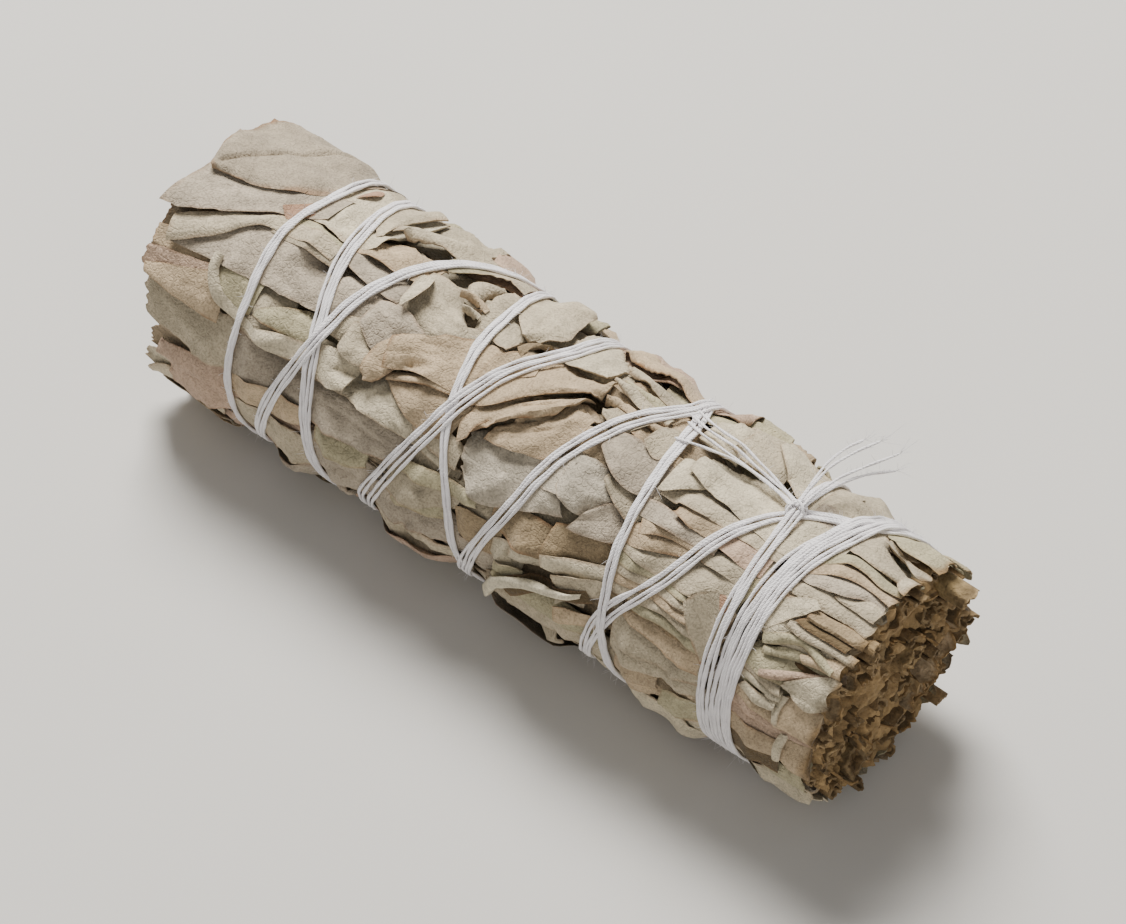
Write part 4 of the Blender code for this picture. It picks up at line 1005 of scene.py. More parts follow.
def tube(path, radius, sides=7, twist=0.0, lobes=0.0):
    """A tube along a path, in millimetres. Each ring is a circle with two lobes that turn by twist a
    millimetre, square to the path. The first ring and the last one are small, so it ends in a point."""
    path = np.asarray(path, float)
    tangent = np.gradient(path, axis=0)
    tangent /= np.linalg.norm(tangent, axis=1)[:, None]
    up = np.array((0.13, 0.21, 0.97))
    side = np.cross(tangent, up)
    side /= np.linalg.norm(side, axis=1)[:, None]
    over = np.cross(side, tangent)
    run = np.concatenate(([0.0], np.cumsum(np.linalg.norm(np.diff(path, axis=0), axis=1))))
    turn = math.tau * np.arange(sides)[None, :] / sides
    lobed = 1.0 + lobes * np.cos(2 * turn - twist * run[:, None])
    size = np.broadcast_to(radius, (len(path),))[:, None] * lobed
    ends = np.ones(len(path))
    ends[[0, -1]] = 0.25
    size = size * ends[:, None]
    points = path[:, None] + size[..., None] * (np.cos(turn)[..., None] * side[:, None]
                                                + np.sin(turn)[..., None] * over[:, None])
    number = np.arange(len(path) * sides).reshape(len(path), sides)
    nxt = np.roll(number, -1, 1)
    faces = np.stack((number[:-1], number[1:], nxt[1:], nxt[:-1]), -1).reshape(-1, 4)
    return points.reshape(-1, 3), faces, uv_rows(run[:, None] / 10.0, np.arange(sides)[None, :] / sides)


def pull_taut(under, rounds, shrink=1.0):
    """A thread's radius along its run, drawn taut over what is under it: again and again it takes the larger
    of what is under it and the middle between its neighbours."""
    taut = under
    for _ in range(rounds):
        padded = np.concatenate((taut[:1], taut, taut[-1:]))
        taut = np.maximum(under, shrink * (padded[:-2] + padded[2:]) / 2)
    return taut


def ease(line, rounds):
    """Smooths a line between its ends: each round averages every value with its neighbours."""
    for _ in range(rounds):
        line[1:-1] = (line[:-2] + 2 * line[1:-1] + line[2:]) / 4
    return line


def thread_route(packing, strand_diameter):
    """Angles, x, band width and the radius of the band's middle along the whole winding. Each pass lies on
    the leaves and on the passes under it, pulled taut."""
    turns, places, widths = winding()
    at = np.arange(turns[0], turns[-1], ROUTE_STEP / FLAT_DEGREE)
    xs = smooth_through(at, turns, places)
    widths = np.interp(at, turns, widths)
    stack = packing.stack
    ground = spread_max(spread_max(packing.surface, True), True)
    laid = packing.surface.copy()
    shrink = math.cos(math.radians(ROUTE_STEP / FLAT_DEGREE))
    order = np.digitize(at, [360.0 * index + PASS_START for index in range(1, len(PASSES))])
    radius = np.zeros(len(at))
    for index in LAY_ORDER:
        mine = np.flatnonzero(order == index)
        a, x = at[mine], xs[mine]
        under = np.maximum(stack.read(ground, x, a), stack.read(laid, x, a))
        radius[mine] = pull_taut(under, 60, shrink) + strand_diameter * 0.5
        row, column = stack.cells(x, a)
        for across in (-2, -1, 0, 1, 2):
            rows = np.clip(np.rint(row).astype(int) + across, 0, stack.rows - 1)
            columns = np.rint(column).astype(int) % stack.columns
            np.maximum.at(laid, (rows, columns), radius[mine] + strand_diameter * 0.45)
    radius = ease(radius, 3)
    return at, xs, widths, np.minimum(radius, floor_radius(at, AXIS_HEIGHT - strand_diameter * 0.6))


def thread_strands(packing, strand_diameter):
    """The four strands of the winding as paths. They keep their order across the band, wander a little, and
    ride up on each other where the band is narrow."""
    at, xs, widths, radius = thread_route(packing, strand_diameter)
    tilt = np.arctan(np.gradient(xs, np.radians(at)) / radius)
    spacing = np.maximum(widths - strand_diameter, 0.2) / (STRANDS - 1)
    crowd = np.clip((strand_diameter - spacing) / strand_diameter, 0.0, 1.0)
    paths = []
    run = np.arange(len(at)) * ROUTE_STEP
    for strand in range(STRANDS):
        wander = 0.2 * noise(run / 8.0, strand * 3.0, 41) + 0.05 * noise(run / 2.5, strand * 5.0, 42)
        offset = (strand - (STRANDS - 1) / 2) * spacing * (1.0 + 0.25 * noise(run / 14.0, 0.5, 43)) + wander
        rise = (strand % 2) * crowd * strand_diameter * 0.75 + 0.04 * noise(run / 3.0, strand * 7.0, 44)
        x = xs + offset * np.cos(tilt)
        angle = at - np.degrees(offset * np.sin(tilt) / radius)
        limit = floor_radius(angle, AXIS_HEIGHT - strand_diameter * 0.62)
        paths.append(place(x, angle, np.minimum(radius + np.maximum(rise, 0.0), limit)))
    return paths


# Lying tails by (x, angle, rise above the leaves), standing ones by (x, y, z)
LYING_TAILS = (
    ((34.0, 80, 0.9), (32.2, 77.5, 0.5), (29.0, 74.5, 0.3), (25.0, 72.5, 0.3), (21.0, 70.5, 0.3), (16.8, 66,
          0.2)),
    ((34.0, 81, 0.9), (32.2, 78.5, 0.7), (28.5, 76.3, 0.3), (24.5, 75, 0.3), (20.5, 73.4, 0.3), (16.6, 70,
          0.2)),
    ((34.0, 82, 0.7), (31.8, 79.8, 0.5), (28.0, 77.8, 0.3), (24.0, 77, 0.3), (20.0, 76, 0.3), (16.9, 73.5,
          0.2)),
    ((34.0, 83, 0.7), (31.8, 80.8, 0.6), (28.5, 79.0, 0.6), (25.0, 79, 0.9), (21.0, 82, 0.8), (17.6, 85,
          0.4)),
)
STANDING_TAILS = (
    ((34.2, 2.2, 32.6), (33.9, 5.2, 33.1), (33.6, 8.4, 33.6), (33.9, 11.4, 33.8), (34.6, 14.0, 33.6)),
    ((34.4, 2.2, 32.7), (34.2, 5.2, 33.3), (34.3, 8.4, 33.8), (35.2, 11.6, 34.1), (36.3, 14.8, 34.0)),
    ((34.8, 2.2, 32.6), (35.1, 5.2, 33.0), (35.8, 8.4, 33.2), (37.2, 11.6, 33.4), (38.7, 15.2, 33.3)),
    ((34.9, 2.2, 32.4), (35.4, 5.2, 32.7), (36.3, 8.4, 32.7), (37.6, 11.2, 32.5), (39.3, 14.0, 31.9)),
)


def lying_tail(packing, tail, count=60):
    """A tail that lies on the leaves: its points' rises are kept above the leaf surface."""
    x, angle, rise = smooth_line(tail, count).T
    ground = spread_max(packing.surface, True)
    under = np.maximum(packing.stack.read(ground, x, angle) + 0.22, thread_radius(x, angle))
    radius = ease(pull_taut(under, 150), 6)
    return place(x, angle, radius + rise * 0.6)


def knot_paths(packing):
    """Strands that loop round the crossing: each is a small ring, bent over the band."""
    x, angle = KNOT
    base = float(packing.stack.read(packing.surface, x, angle))
    centre = place(x, angle, base + 0.75)
    turn = np.linspace(0, math.tau, 40)
    paths = []
    for number, (wide, high, lean) in enumerate(KNOT_LOOPS):
        ring = np.stack((wide * np.cos(turn) * math.cos(lean) - 0.45 * np.sin(turn) * math.sin(lean),
                         wide * np.cos(turn) * math.sin(lean) + 0.45 * np.sin(turn) * math.cos(lean),
                         high * np.sin(turn) + 0.12 * number), -1)
        paths.append(centre + ring)
    return paths


def fuzz_paths(paths, count, chance):
    """Short loose fibres: each starts on a strand and curves away from it."""
    made = []
    for _ in range(count):
        path = paths[int(chance.integers(len(paths)))]
        start = path[int(chance.integers(1, len(path) - 2))]
        outward = np.array((0.0, start[1], start[2] - AXIS_HEIGHT))
        outward /= max(np.linalg.norm(outward), 1e-6)
        way = outward * chance.uniform(0.25, 1.0) + chance.normal(0, 0.75, 3)
        way /= np.linalg.norm(way)
        if way @ outward < 0.1:
            way = way + outward * (0.3 - way @ outward)
        bend = chance.normal(0, 0.45, 3)
        length = chance.uniform(0.4, 1.3)
        share = np.linspace(0, 1, 5)[:, None]
        path = start + length * (way * share + bend * share**2 * 0.6)
        if path[:, 2].min() > 0.1 and np.abs(path[:, 1]).max() < 17.9:
            made.append(path)
    return made


# Stalks and inner leaves

STALK_SIDES = 36
STALK_START_X = 34.0
# The rings of a stalk's cut, as shares of its radius
CUT_RINGS = (0.95, 0.86, 0.74, 0.62, 0.48, 0.3, 0.08)
BARK = linear(142, 122, 86)
WOOD = linear(150, 128, 94)
PITH = linear(112, 90, 60)
# The one stalk that sticks out: its box's low and high corner
LONG_STALK = ((30.0, 7.4, 24.2), (54.4, 10.6, 27.2))
# Leaf bases between the stalks: ribbons by (radius, wave, pieces), scrolls by (radius, count)
BASES_START_X = 43.0
RIBBON_RINGS = ((7.3, -0.42, 5), (11.9, 0.42, 9))
RIBBON_ROWS = 16
RIBBON_THICKNESS = 0.3
RIBBON_EDGE = linear(140, 114, 78)
SCROLL_RINGS = ((2.5, 3), (7.3, 9), (12.2, 13), (14.3, 13))
SCROLL_ROWS = 9
SCROLL_COLUMNS = 26
SCROLL_RIM = linear(144, 122, 90)
# Painted shade: the colour of the scrolls' hollows and of their parts further in from the cut
SCROLL_SHADE = linear(92, 73, 50)
# The imported crumbs: where their face stands and its radius, its grid, and its colours from low to high. The
# low colour is painted shade in the hollows.
PACKED_FACE = (49.2, 14.0)
PACKED_LINES = 90
CRUMBS_HOLLOW_SHADE = linear(84, 67, 46)
CRUMBS_HIGH = linear(158, 132, 94)
# The inner leaf tips: rings by (radius, count), where they start and their grid
INNER_SPRIGS = 6
TIP_RINGS = ((1.6, 3), (3.0, 3), (4.6, 4), (6.2, 5), (7.8, 6), (9.4, 7), (11.2, 8))
TIPS_START_X = -38.0
TIP_ROWS = 26
TIP_COLUMNS = 19


def stalk_part(low, high, seed):
    """A cut stalk in its box: a squared section with ribs, and a rough cut round a pith that has sunk or
    crumbled away. The side is a grid of x and turn; the cut is rings that close to a small middle."""
    chance = np.random.default_rng(seed)
    size = (high[1:] - low[1:]) / 2 * chance.uniform(0.86, 1.0, 2)
    centre = (high[1:] + low[1:]) / 2
    turn = math.tau * np.arange(STALK_SIDES) / STALK_SIDES
    spin = chance.uniform(0, math.pi)
    ribs = 0.93 + 0.07 * np.cos(4 * (turn - spin)) + 0.03 * np.cos(11 * turn + spin)
    ribs = ribs * (1.0 + 0.06 * noise(turn * 2.5, 0.5, seed + 1))
    end_x = high[0] - chance.uniform(0.0, 0.9)
    rim_xs = end_x - np.array((0.8, 0.45, 0.2, 0.0))
    xs = np.concatenate((np.linspace(STALK_START_X, end_x - 1.2, 12), rim_xs))
    jag = 0.3 * noise(turn * 2.2, 0.3, seed + 2) + 0.15 * noise(turn * 7.0, 0.7, seed + 3)
    jag = jag + chance.uniform(0.1, 0.5) * np.cos(turn - chance.uniform(0, math.tau))
    side_x = xs[:, None] + smooth_step(end_x - 2.5, end_x, xs)[:, None] * (jag - 0.35)[None, :]
    scale = 1.0 + 0.03 * noise(xs[:, None] / 2.0, turn[None, :] * 3, seed + 4)
    shares = np.array(CUT_RINGS)[:, None]
    wall = chance.uniform(0.3, 0.72)
    sink = chance.choice((0.15, 0.4, 1.0)) * (1.0 - smooth_step(wall - 0.12, wall + 0.1, shares))
    rough = 0.3 * noise(turn[None, :] * 4.0, shares * 6.0, seed + 5)
    inner_x = side_x[-1:] * shares**0.5 + (end_x - 0.4) * (1 - shares**0.5) - sink + rough
    x = np.concatenate((side_x, inner_x))
    reach = np.concatenate((ribs[None, :] * scale, ribs[None, :] * shares))
    y, z = centre[0] + size[0] * reach * np.cos(turn), centre[1] + size[1] * reach * np.sin(turn)
    points = np.stack((x, y, z), -1)
    rows, columns = x.shape
    number = np.arange(rows * columns).reshape(rows, columns)
    nxt = np.roll(number, -1, 1)
    faces = np.stack((number[:-1], nxt[:-1], nxt[1:], number[1:]), -1).reshape(-1, 4)
    bark = np.array(BARK) * chance.uniform(0.8, 1.15)
    wood = np.array(WOOD) * chance.uniform(0.65, 1.2)
    pith = np.array(PITH) * chance.uniform(0.55, 1.2)
    tones = bark + (wood * 0.6 - bark) * smooth_step(end_x - 2.6, end_x - 0.3, x)[..., None]
    ring = np.arange(rows)[:, None, None]
    tones = np.where(ring >= len(xs) - 1, wood, tones)
    # Painted shade: the pith is darker the deeper it has sunk
    depth = np.concatenate((np.zeros((len(xs), 1)), sink))[..., None]
    tones = np.where(ring >= len(xs) + 3, pith * (1.0 - 0.3 * np.minimum(depth, 2.0)), tones)
    tones = tones * (1.0 + 0.2 * noise(x / 0.8, turn[None, :] * 4.0, seed + 6))[..., None]
    uv = uv_rows(x / 10.0, turn[None, :])
    return points.reshape(-1, 3), close_ends(faces, number), tones.reshape(-1, 3), uv


def scroll_part(y, z, radius, end_x, seed):
    """A leaf base rolled up beside the stalks: a spiral strip, squashed a little, with a torn pale rim, and
    painted shade that darkens it further in from the cut and more on the inside of the roll. The spiral's
    radius falls steadily along its turn."""
    chance = np.random.default_rng(seed)
    turns = chance.uniform(0.8, 1.35)
    turn = np.linspace(0.0, math.tau * turns, SCROLL_COLUMNS)[None, :]
    inward = np.linspace(0.0, 1.0, SCROLL_COLUMNS)[None, :]
    reach = radius * (1.0 - 0.62 * inward) * (1.0 + 0.08 * noise(turn * 1.5, 0.3, seed + 1))
    share = np.linspace(0.0, 1.0, SCROLL_ROWS)[:, None] ** 0.5
    jag = 0.5 * noise(turn * 0.9, 0.2, seed + 2) + 0.15 * noise(turn * 4.0, 0.4, seed + 3)
    x = BASES_START_X + (end_x - BASES_START_X + jag) * share
    spin, squash = chance.uniform(0, math.tau), chance.uniform(0.6, 1.0)
    grids = []
    for offset in (0.2, -0.2):
        a = (reach + offset) * np.cos(turn) + 0.0 * x
        b = (reach + offset) * np.sin(turn) * squash + 0.0 * x
        grids.append(np.stack((x, y + a * math.cos(spin) - b * math.sin(spin),
                               z + a * math.sin(spin) + b * math.cos(spin)), -1).reshape(-1, 3))
    rim = np.array(SCROLL_RIM) * chance.uniform(0.6, 1.25)
    # Painted shade: darker further in from the cut, and darker still on the inner side of the roll
    deep = np.array(SCROLL_SHADE)
    outer = deep + (rim - deep) * smooth_step(0.7, 1.0, share)[..., None]
    outer = outer * (1.0 + 0.25 * noise(x / 0.9, turn * 1.5, seed + 4))[..., None]
    inner = deep * 0.7 + (rim * 0.9 - deep * 0.7) * smooth_step(0.88, 1.0, share)[..., None] + 0.0 * outer
    tones = np.concatenate((outer.reshape(-1, 3), inner.reshape(-1, 3)))
    return (np.concatenate(grids), blade_faces(SCROLL_ROWS, SCROLL_COLUMNS), tones,
            twice(uv_rows(x / 10.0, turn)))


def packed_part(end_x, radius, seed):
    """Crumbs and scraps packed between the stalks: a square grid drawn out to a disc, so that it has neither
    pole nor seam, raised and lowered by ridged noise and coloured darker where it is low as painted shade,
    with a plain back 2 mm behind it."""
    line = np.linspace(-1.0, 1.0, PACKED_LINES)
    u, v = line[:, None], line[None, :]
    y = radius * u * np.sqrt(1.0 - v * v / 2)
    z = radius * v * np.sqrt(1.0 - u * u / 2)
    rise = 1.2 * ridged(y / 2.2, z / 2.2, seed) + 0.35 * noise(y / 0.7, z / 0.7, seed + 1)
    points = np.concatenate([np.stack((x + 0.0 * y, y, AXIS_HEIGHT + z), -1).reshape(-1, 3)
                             for x in (end_x + rise, end_x - 2.0 + 0.0 * rise)])
    # Painted shade: the colour runs from dark in the hollows to pale on the crests
    share = smooth_step(-0.9, 1.1, rise)[..., None]
    tones = np.array(CRUMBS_HOLLOW_SHADE) * (1.0 - share) + np.array(CRUMBS_HIGH) * share
    tones = tones * (1.0 + 0.3 * noise(y / 2.2, z / 2.2, seed + 2))[..., None]
    faces = blade_faces(PACKED_LINES, PACKED_LINES)
    return points, faces, twice(tones.reshape(-1, 3)), twice(uv_rows(y / 10.0, z / 10.0))


def close_ends(faces, number):
    """Adds a flat cap over the first and the last ring of a tube's grid, as strips of four-cornered faces."""
    columns = number.shape[1]
    left = np.arange(0, columns // 2 - 1)
    caps = []
    for ring, flip in ((number[0], True), (number[-1], False)):
        cap = np.stack((ring[left], ring[left + 1], ring[columns - 2 - left], ring[columns - 1 - left]), -1)
        caps.append(cap[:, ::-1] if flip else cap)
    return np.concatenate([faces] + caps)


def ribbon_part(angles, radii, end_x, tone, seed):
    """A leaf base folded round the stalks: a strip that follows a wavy ring, with a torn end."""
    share = np.linspace(0.0, 1.0, RIBBON_ROWS)[:, None]
    jag = 0.9 * noise(angles / 7.0, 0.2, seed) + 0.4 * noise(angles / 2.0, 0.4, seed + 1)
    x = BASES_START_X + (end_x - BASES_START_X + jag[None, :]) * (1 - share)
    wave = 0.16 * noise(x / 2.0, angles[None, :] / 9.0, seed + 2)
    points = shell_points(x, angles[None, :], radii[None, :] + wave, RIBBON_THICKNESS)
    base = np.array(TONES[tone]) * 0.75
    tones = base + (np.array(RIBBON_EDGE) - base) * smooth_step(0.08, 0.0, share)[..., None]
    tones = tones * (1.0 + 0.3 * noise(x / 1.0, angles[None, :] / 5.0, seed + 3))[..., None]
    faces = blade_faces(RIBBON_ROWS, len(angles))
    return points, faces, twice(tones.reshape(-1, 3)), twice(uv_rows(x / 10.0, angles[None, :] / 40.0))


def tip_leaf_part(angle, spread, radius, tip_x, tone, seed, thickness):
    """A leaf tip of the inner sprigs: a strip rolled round the axis, waved in and out and rounded at its
    end."""
    side = np.linspace(-1.0, 1.0, TIP_COLUMNS)[None, :]
    share = np.linspace(0.0, 1.0, TIP_ROWS)[:, None]
    width = spread * (0.35 + 0.65 * np.sqrt(np.clip(1.0 - share**3, 0.0, 1.0)))
    angles = angle + side * width / 2
    ragged = 0.4 * noise(side * 5.0, 0.3, seed) * share
    x = TIPS_START_X + (tip_x - TIPS_START_X) * share + ragged - 0.8 * (1 - side**2) * share * 0.6
    wave = 0.3 * noise(x / 3.0, side * 1.8 + 0.0 * share, seed + 1) + 0.25 * np.abs(side) ** 3 * share
    radii = radius + wave + 0.25 * noise(side * 1.2, share * 0.8, seed + 2)
    points = shell_points(x, angles, radii, thickness)
    base = np.array(TONES[tone]) * (0.95 + 0.1 * noise(seed * 0.37, 0.1, 3))
    tones = base * (1.0 + 0.12 * noise(x / 2.0, side * 4.0, seed + 4))[..., None]
    margin = 0.5 * smooth_step(0.8, 1.0, np.maximum(np.abs(side) + 0 * share, share))[..., None]
    tones = tones + (np.array(MARGIN) - tones) * margin
    faces = blade_faces(TIP_ROWS, TIP_COLUMNS)[:, ::-1]
    return points, faces, twice(tones.reshape(-1, 3)), twice(uv_rows(x / 10.0, side * spread / 60.0))


# Materials

def node(tree, kind, inputs=None, **values):
    """A new node with its settings. Each input gets a value, or a link where an output is given."""
    made = tree.nodes.new(kind)
    for key, value in values.items():
        setattr(made, key, value)
    for key, value in (inputs or {}).items():
        if isinstance(value, bpy.types.NodeSocket):
            tree.links.new(value, made.inputs[key])
        else:
            made.inputs[key].default_value = value
    return made


def spread(tree, value, low, high, to_low=0.0, to_high=1.0):
    """A value whose span from low to high is spread from to_low to to_high."""
    span = {"Value": value, "From Min": low, "From Max": high, "To Min": to_low, "To Max": to_high}
    return node(tree, "ShaderNodeMapRange", span).outputs["Result"]


def product(tree, first, second):
    """Two values multiplied."""
    return node(tree, "ShaderNodeMath", {0: first, 1: second}, operation="MULTIPLY").outputs["Value"]


def mottle_group():
    """Two sizes of noise on the object's own coordinates: a coarse mask and a fine grain."""
    group = bpy.data.node_groups.get("mottle")
    if group:
        return group
    group = bpy.data.node_groups.new("mottle", "ShaderNodeTree")
    for way, names in (("INPUT", ("Coarse scale", "Fine scale")), ("OUTPUT", ("Mask", "Grain"))):
        for name in names:
            group.interface.new_socket(name, in_out=way, socket_type="NodeSocketFloat")
    scales = node(group, "NodeGroupInput").outputs
    where = node(group, "ShaderNodeTexCoord").outputs["Object"]
    coarse, fine = (
        node(group, "ShaderNodeTexNoise", {"Vector": where, "Scale": scales[scale], "Detail": detail})
        for scale, detail in (("Coarse scale", 5.0), ("Fine scale", 3.0)))
    node(group, "NodeGroupOutput", {"Mask": coarse.outputs["Fac"], "Grain": fine.outputs["Fac"]})
    return group


def mottled(tree, coarse, fine):
    """The mottle group's mask and grain, at two scales."""
    scales = {"Coarse scale": coarse, "Fine scale": fine}
    made = node(tree, "ShaderNodeGroup", scales, node_tree=mottle_group())
    return made.outputs["Mask"], made.outputs["Grain"]


def shaded(name, roughness, sheen=0.0):
    """A new material with its shader, and its tree."""
    made = bpy.data.materials.new(name)
    made.use_nodes = True
    shader = made.node_tree.nodes["Principled BSDF"]
    shader.inputs["Roughness"].default_value = roughness
    shader.inputs["Specular IOR Level"].default_value = 0.25
    shader.inputs["Sheen Weight"].default_value = sheen
    shader.inputs["Sheen Roughness"].default_value = 0.5
    return made, made.node_tree, shader


def tone_times(tree, shader, mask, low, high):
    """Base Color: the tone attribute, multiplied by a mask that is spread from low to high."""
    tone = node(tree, "ShaderNodeAttribute", attribute_name="tone").outputs["Color"]
    share = spread(tree, mask, 0.3, 0.7, low, high)
    mix = node(tree, "ShaderNodeVectorMath", {0: tone, "Scale": share}, operation="SCALE").outputs["Vector"]
    tree.links.new(mix, shader.inputs["Base Color"])
    return mix


def bump_on(tree, shader, height, strength, distance, under=None):
    """Relief from a height, on top of other relief if any, as the shader's normal."""
    made = node(tree, "ShaderNodeBump", {"Height": height, "Strength": strength, "Distance": distance})
    if under is not None:
        tree.links.new(under, made.inputs["Normal"])
    tree.links.new(made.outputs["Normal"], shader.inputs["Normal"])
    return made.outputs["Normal"]


def leaf_material():
    """Dry felted sage leaf: its own tone, mottled, with a pebbled net of veins in low relief, painted shade
    that darkens the net's grooves a little, and a dark speck for each square centimetre or so."""
    made, tree, shader = shaded("dry_sage_leaf", 0.93, 0.08)
    mask, grain = mottled(tree, 650.0, 3600.0)
    toned = tone_times(tree, shader, mask, 0.84, 1.12)
    where = node(tree, "ShaderNodeUVMap", uv_map="surface").outputs["UV"]
    net = node(tree, "ShaderNodeTexVoronoi", {"Vector": where, "Scale": 15.0}, feature="DISTANCE_TO_EDGE")
    veins = spread(tree, net.outputs["Distance"], 0.0, 0.12)
    grained = spread(tree, grain, 0.36, 0.56, 0.74)
    # Painted shade: a little darker in the grooves of the vein net
    pitted = spread(tree, net.outputs["Distance"], 0.0, 0.05, 0.95)
    spots = node(tree, "ShaderNodeTexVoronoi", {"Vector": where, "Scale": 1.3})
    specked = spread(tree, spots.outputs["Distance"], 0.018, 0.034, 0.4)
    darker = product(tree, product(tree, grained, pitted), specked)
    darkened = node(tree, "ShaderNodeVectorMath", {0: toned, "Scale": darker}, operation="SCALE")
    tree.links.new(darkened.outputs["Vector"], shader.inputs["Base Color"])
    pebbles = bump_on(tree, shader, veins, 0.45, 0.00013)
    felt = bump_on(tree, shader, grain, 0.8, 0.00016, pebbles)
    bump_on(tree, shader, mask, 0.6, 0.0004, felt)
    return made


def stalk_material():
    """Dry brown stem: fibres along it and a crumbly cut."""
    made, tree, shader = shaded("dry_stem", 0.85)
    mask, grain = mottled(tree, 1100.0, 3000.0)
    tone_times(tree, shader, mask, 0.65, 1.3)
    crumbs = bump_on(tree, shader, grain, 0.9, 0.00025)
    bump_on(tree, shader, mask, 0.8, 0.0005, crumbs)
    return made


def thread_material():
    """White cotton: twisted plies as slanting stripes on the strand's own UV map, and soft grain."""
    made, tree, shader = shaded("cotton_thread", 0.88, 0.3)
    mask, grain = mottled(tree, 900.0, 6500.0)
    tone_times(tree, shader, mask, 0.94, 1.06)
    along = node(tree, "ShaderNodeUVMap", uv_map="surface").outputs["UV"]
    stretch = node(tree, "ShaderNodeMapping", {"Vector": along, "Scale": (4.0, 1.0, 1.0)}).outputs["Vector"]
    stripes = node(tree, "ShaderNodeTexWave", {"Vector": stretch, "Scale": 3.2, "Distortion": 1.5},
                   wave_type="BANDS", bands_direction="DIAGONAL")
    plies = bump_on(tree, shader, stripes.outputs["Fac"], 0.45, 0.00012)
    bump_on(tree, shader, grain, 0.4, 0.00008, plies)
    return made


def floor_material(colour):
    """Plain pale floor, with a trace of unevenness."""
    made, tree, shader = shaded("pale_floor", 0.8)
    where = node(tree, "ShaderNodeTexCoord").outputs["Object"]
    texture = node(tree, "ShaderNodeTexNoise", {"Vector": where, "Scale": 25.0}).outputs["Fac"]
    shades = {"Factor": texture, "A": (*colour, 1.0), "B": (*[c * 0.96 for c in colour], 1.0)}
    ramp = node(tree, "ShaderNodeMix", shades, data_type="RGBA")
    tree.links.new(ramp.outputs["Result"], shader.inputs["Base Color"])
    return made


# The add-on: settings, operators and panel

class SMUDGE_settings(bpy.types.PropertyGroup):
    leaf_thickness: FloatProperty(
        name="Leaf thickness", description="Thickness of a dry leaf", default=0.0003, unit="LENGTH")
    strand_diameter: FloatProperty(
        name="Strand diameter", description="Diameter of one of the four strands", default=0.0004,
        unit="LENGTH")
    fuzz_count: IntProperty(name="Fuzz", description="Number of loose cotton fibres", default=1800)
    thread_colour: FloatVectorProperty(
        name="Thread colour", description="Colour of the cotton", default=linear(243, 240, 242),
        subtype="COLOR")
    floor_colour: FloatVectorProperty(
        name="Floor colour", description="Colour of the plain floor", default=linear(206, 204, 200),
        subtype="COLOR")
    key_power: FloatProperty(
        name="Key light", description="Power of the soft key light", default=19.0, unit="POWER")
    fill_power: FloatProperty(
        name="Fill light", description="Power of the fill light", default=2.2, unit="POWER")


packing_made = {}


def packing_for(settings):
    """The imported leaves, worked out once."""
    if "packing" not in packing_made:
        packing_made["packing"] = Packing(settings.leaf_thickness / MM)
    return packing_made["packing"]


def dress(item, material, slot, *nodes):
    """Gives a piece its material and lets it ride, and hides the nodes that it stands for. The slot is not
    used.
    """
    item.data.materials.append(material)
    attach(item, "root")
    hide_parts(*nodes)


class SMUDGE_OT_outer_leaves(bpy.types.Operator):
    """Lay the outer sprigs' leaves"""
    bl_idname = "smudge.outer_leaves"
    bl_label = "Outer leaves"

    def execute(self, context):
        packing = packing_for(context.scene.smudge)
        material = leaf_material()
        owned = [[] for _ in SPRIG_EDGES]
        for laid in packing.leaves:
            stem, tip = laid["spec"]["stem"], laid["spec"]["tip"]
            owned[sprig_of((stem[0] + tip[0]) / 2, (stem[1] + tip[1]) / 2)].append(leaf_part(packing, laid))
        for index, parts in enumerate(owned, start=1):
            item = make_piece(f"sage_sprig_{index:02d}", *join_parts(parts))
            dress(item, material, "leaf", f"outer_sprig_{index:02d}")
        return {"FINISHED"}


class SMUDGE_OT_inner_leaves(bpy.types.Operator):
    """Roll the inner sprigs' leaf tips"""
    bl_idname = "smudge.inner_leaves"
    bl_label = "Inner leaf tips"

    def execute(self, context):
        thickness = context.scene.smudge.leaf_thickness / MM
        chance = np.random.default_rng(17)
        material = leaf_material()
        owned = [[] for _ in range(INNER_SPRIGS)]
        for ring, (radius, count) in enumerate(TIP_RINGS):
            for step in range(count):
                angle = 360.0 * (step + 0.37 * ring) / count + chance.uniform(-5, 5)
                spread = 360.0 / count * chance.uniform(0.85, 0.98)
                tone = pick(chance, "mid", "green", "tan", "dark", "pale")
                part = tip_leaf_part(angle, spread, radius + chance.uniform(-0.15, 0.15),
                                     -51.5 + chance.uniform(0, 3.5), tone, 900 + 10 * ring + step, thickness)
                owner = 0 if ring < 3 else 1 + int(((angle - 10.0) % 360.0) // 72.0)
                owned[owner].append(part)
        for index, parts in enumerate(owned, start=1):
            item = make_piece(f"inner_leaves_{index:02d}", *join_parts(parts))
            dress(item, material, "inner_leaf", f"inner_sprig_{index:02d}")
        return {"FINISHED"}


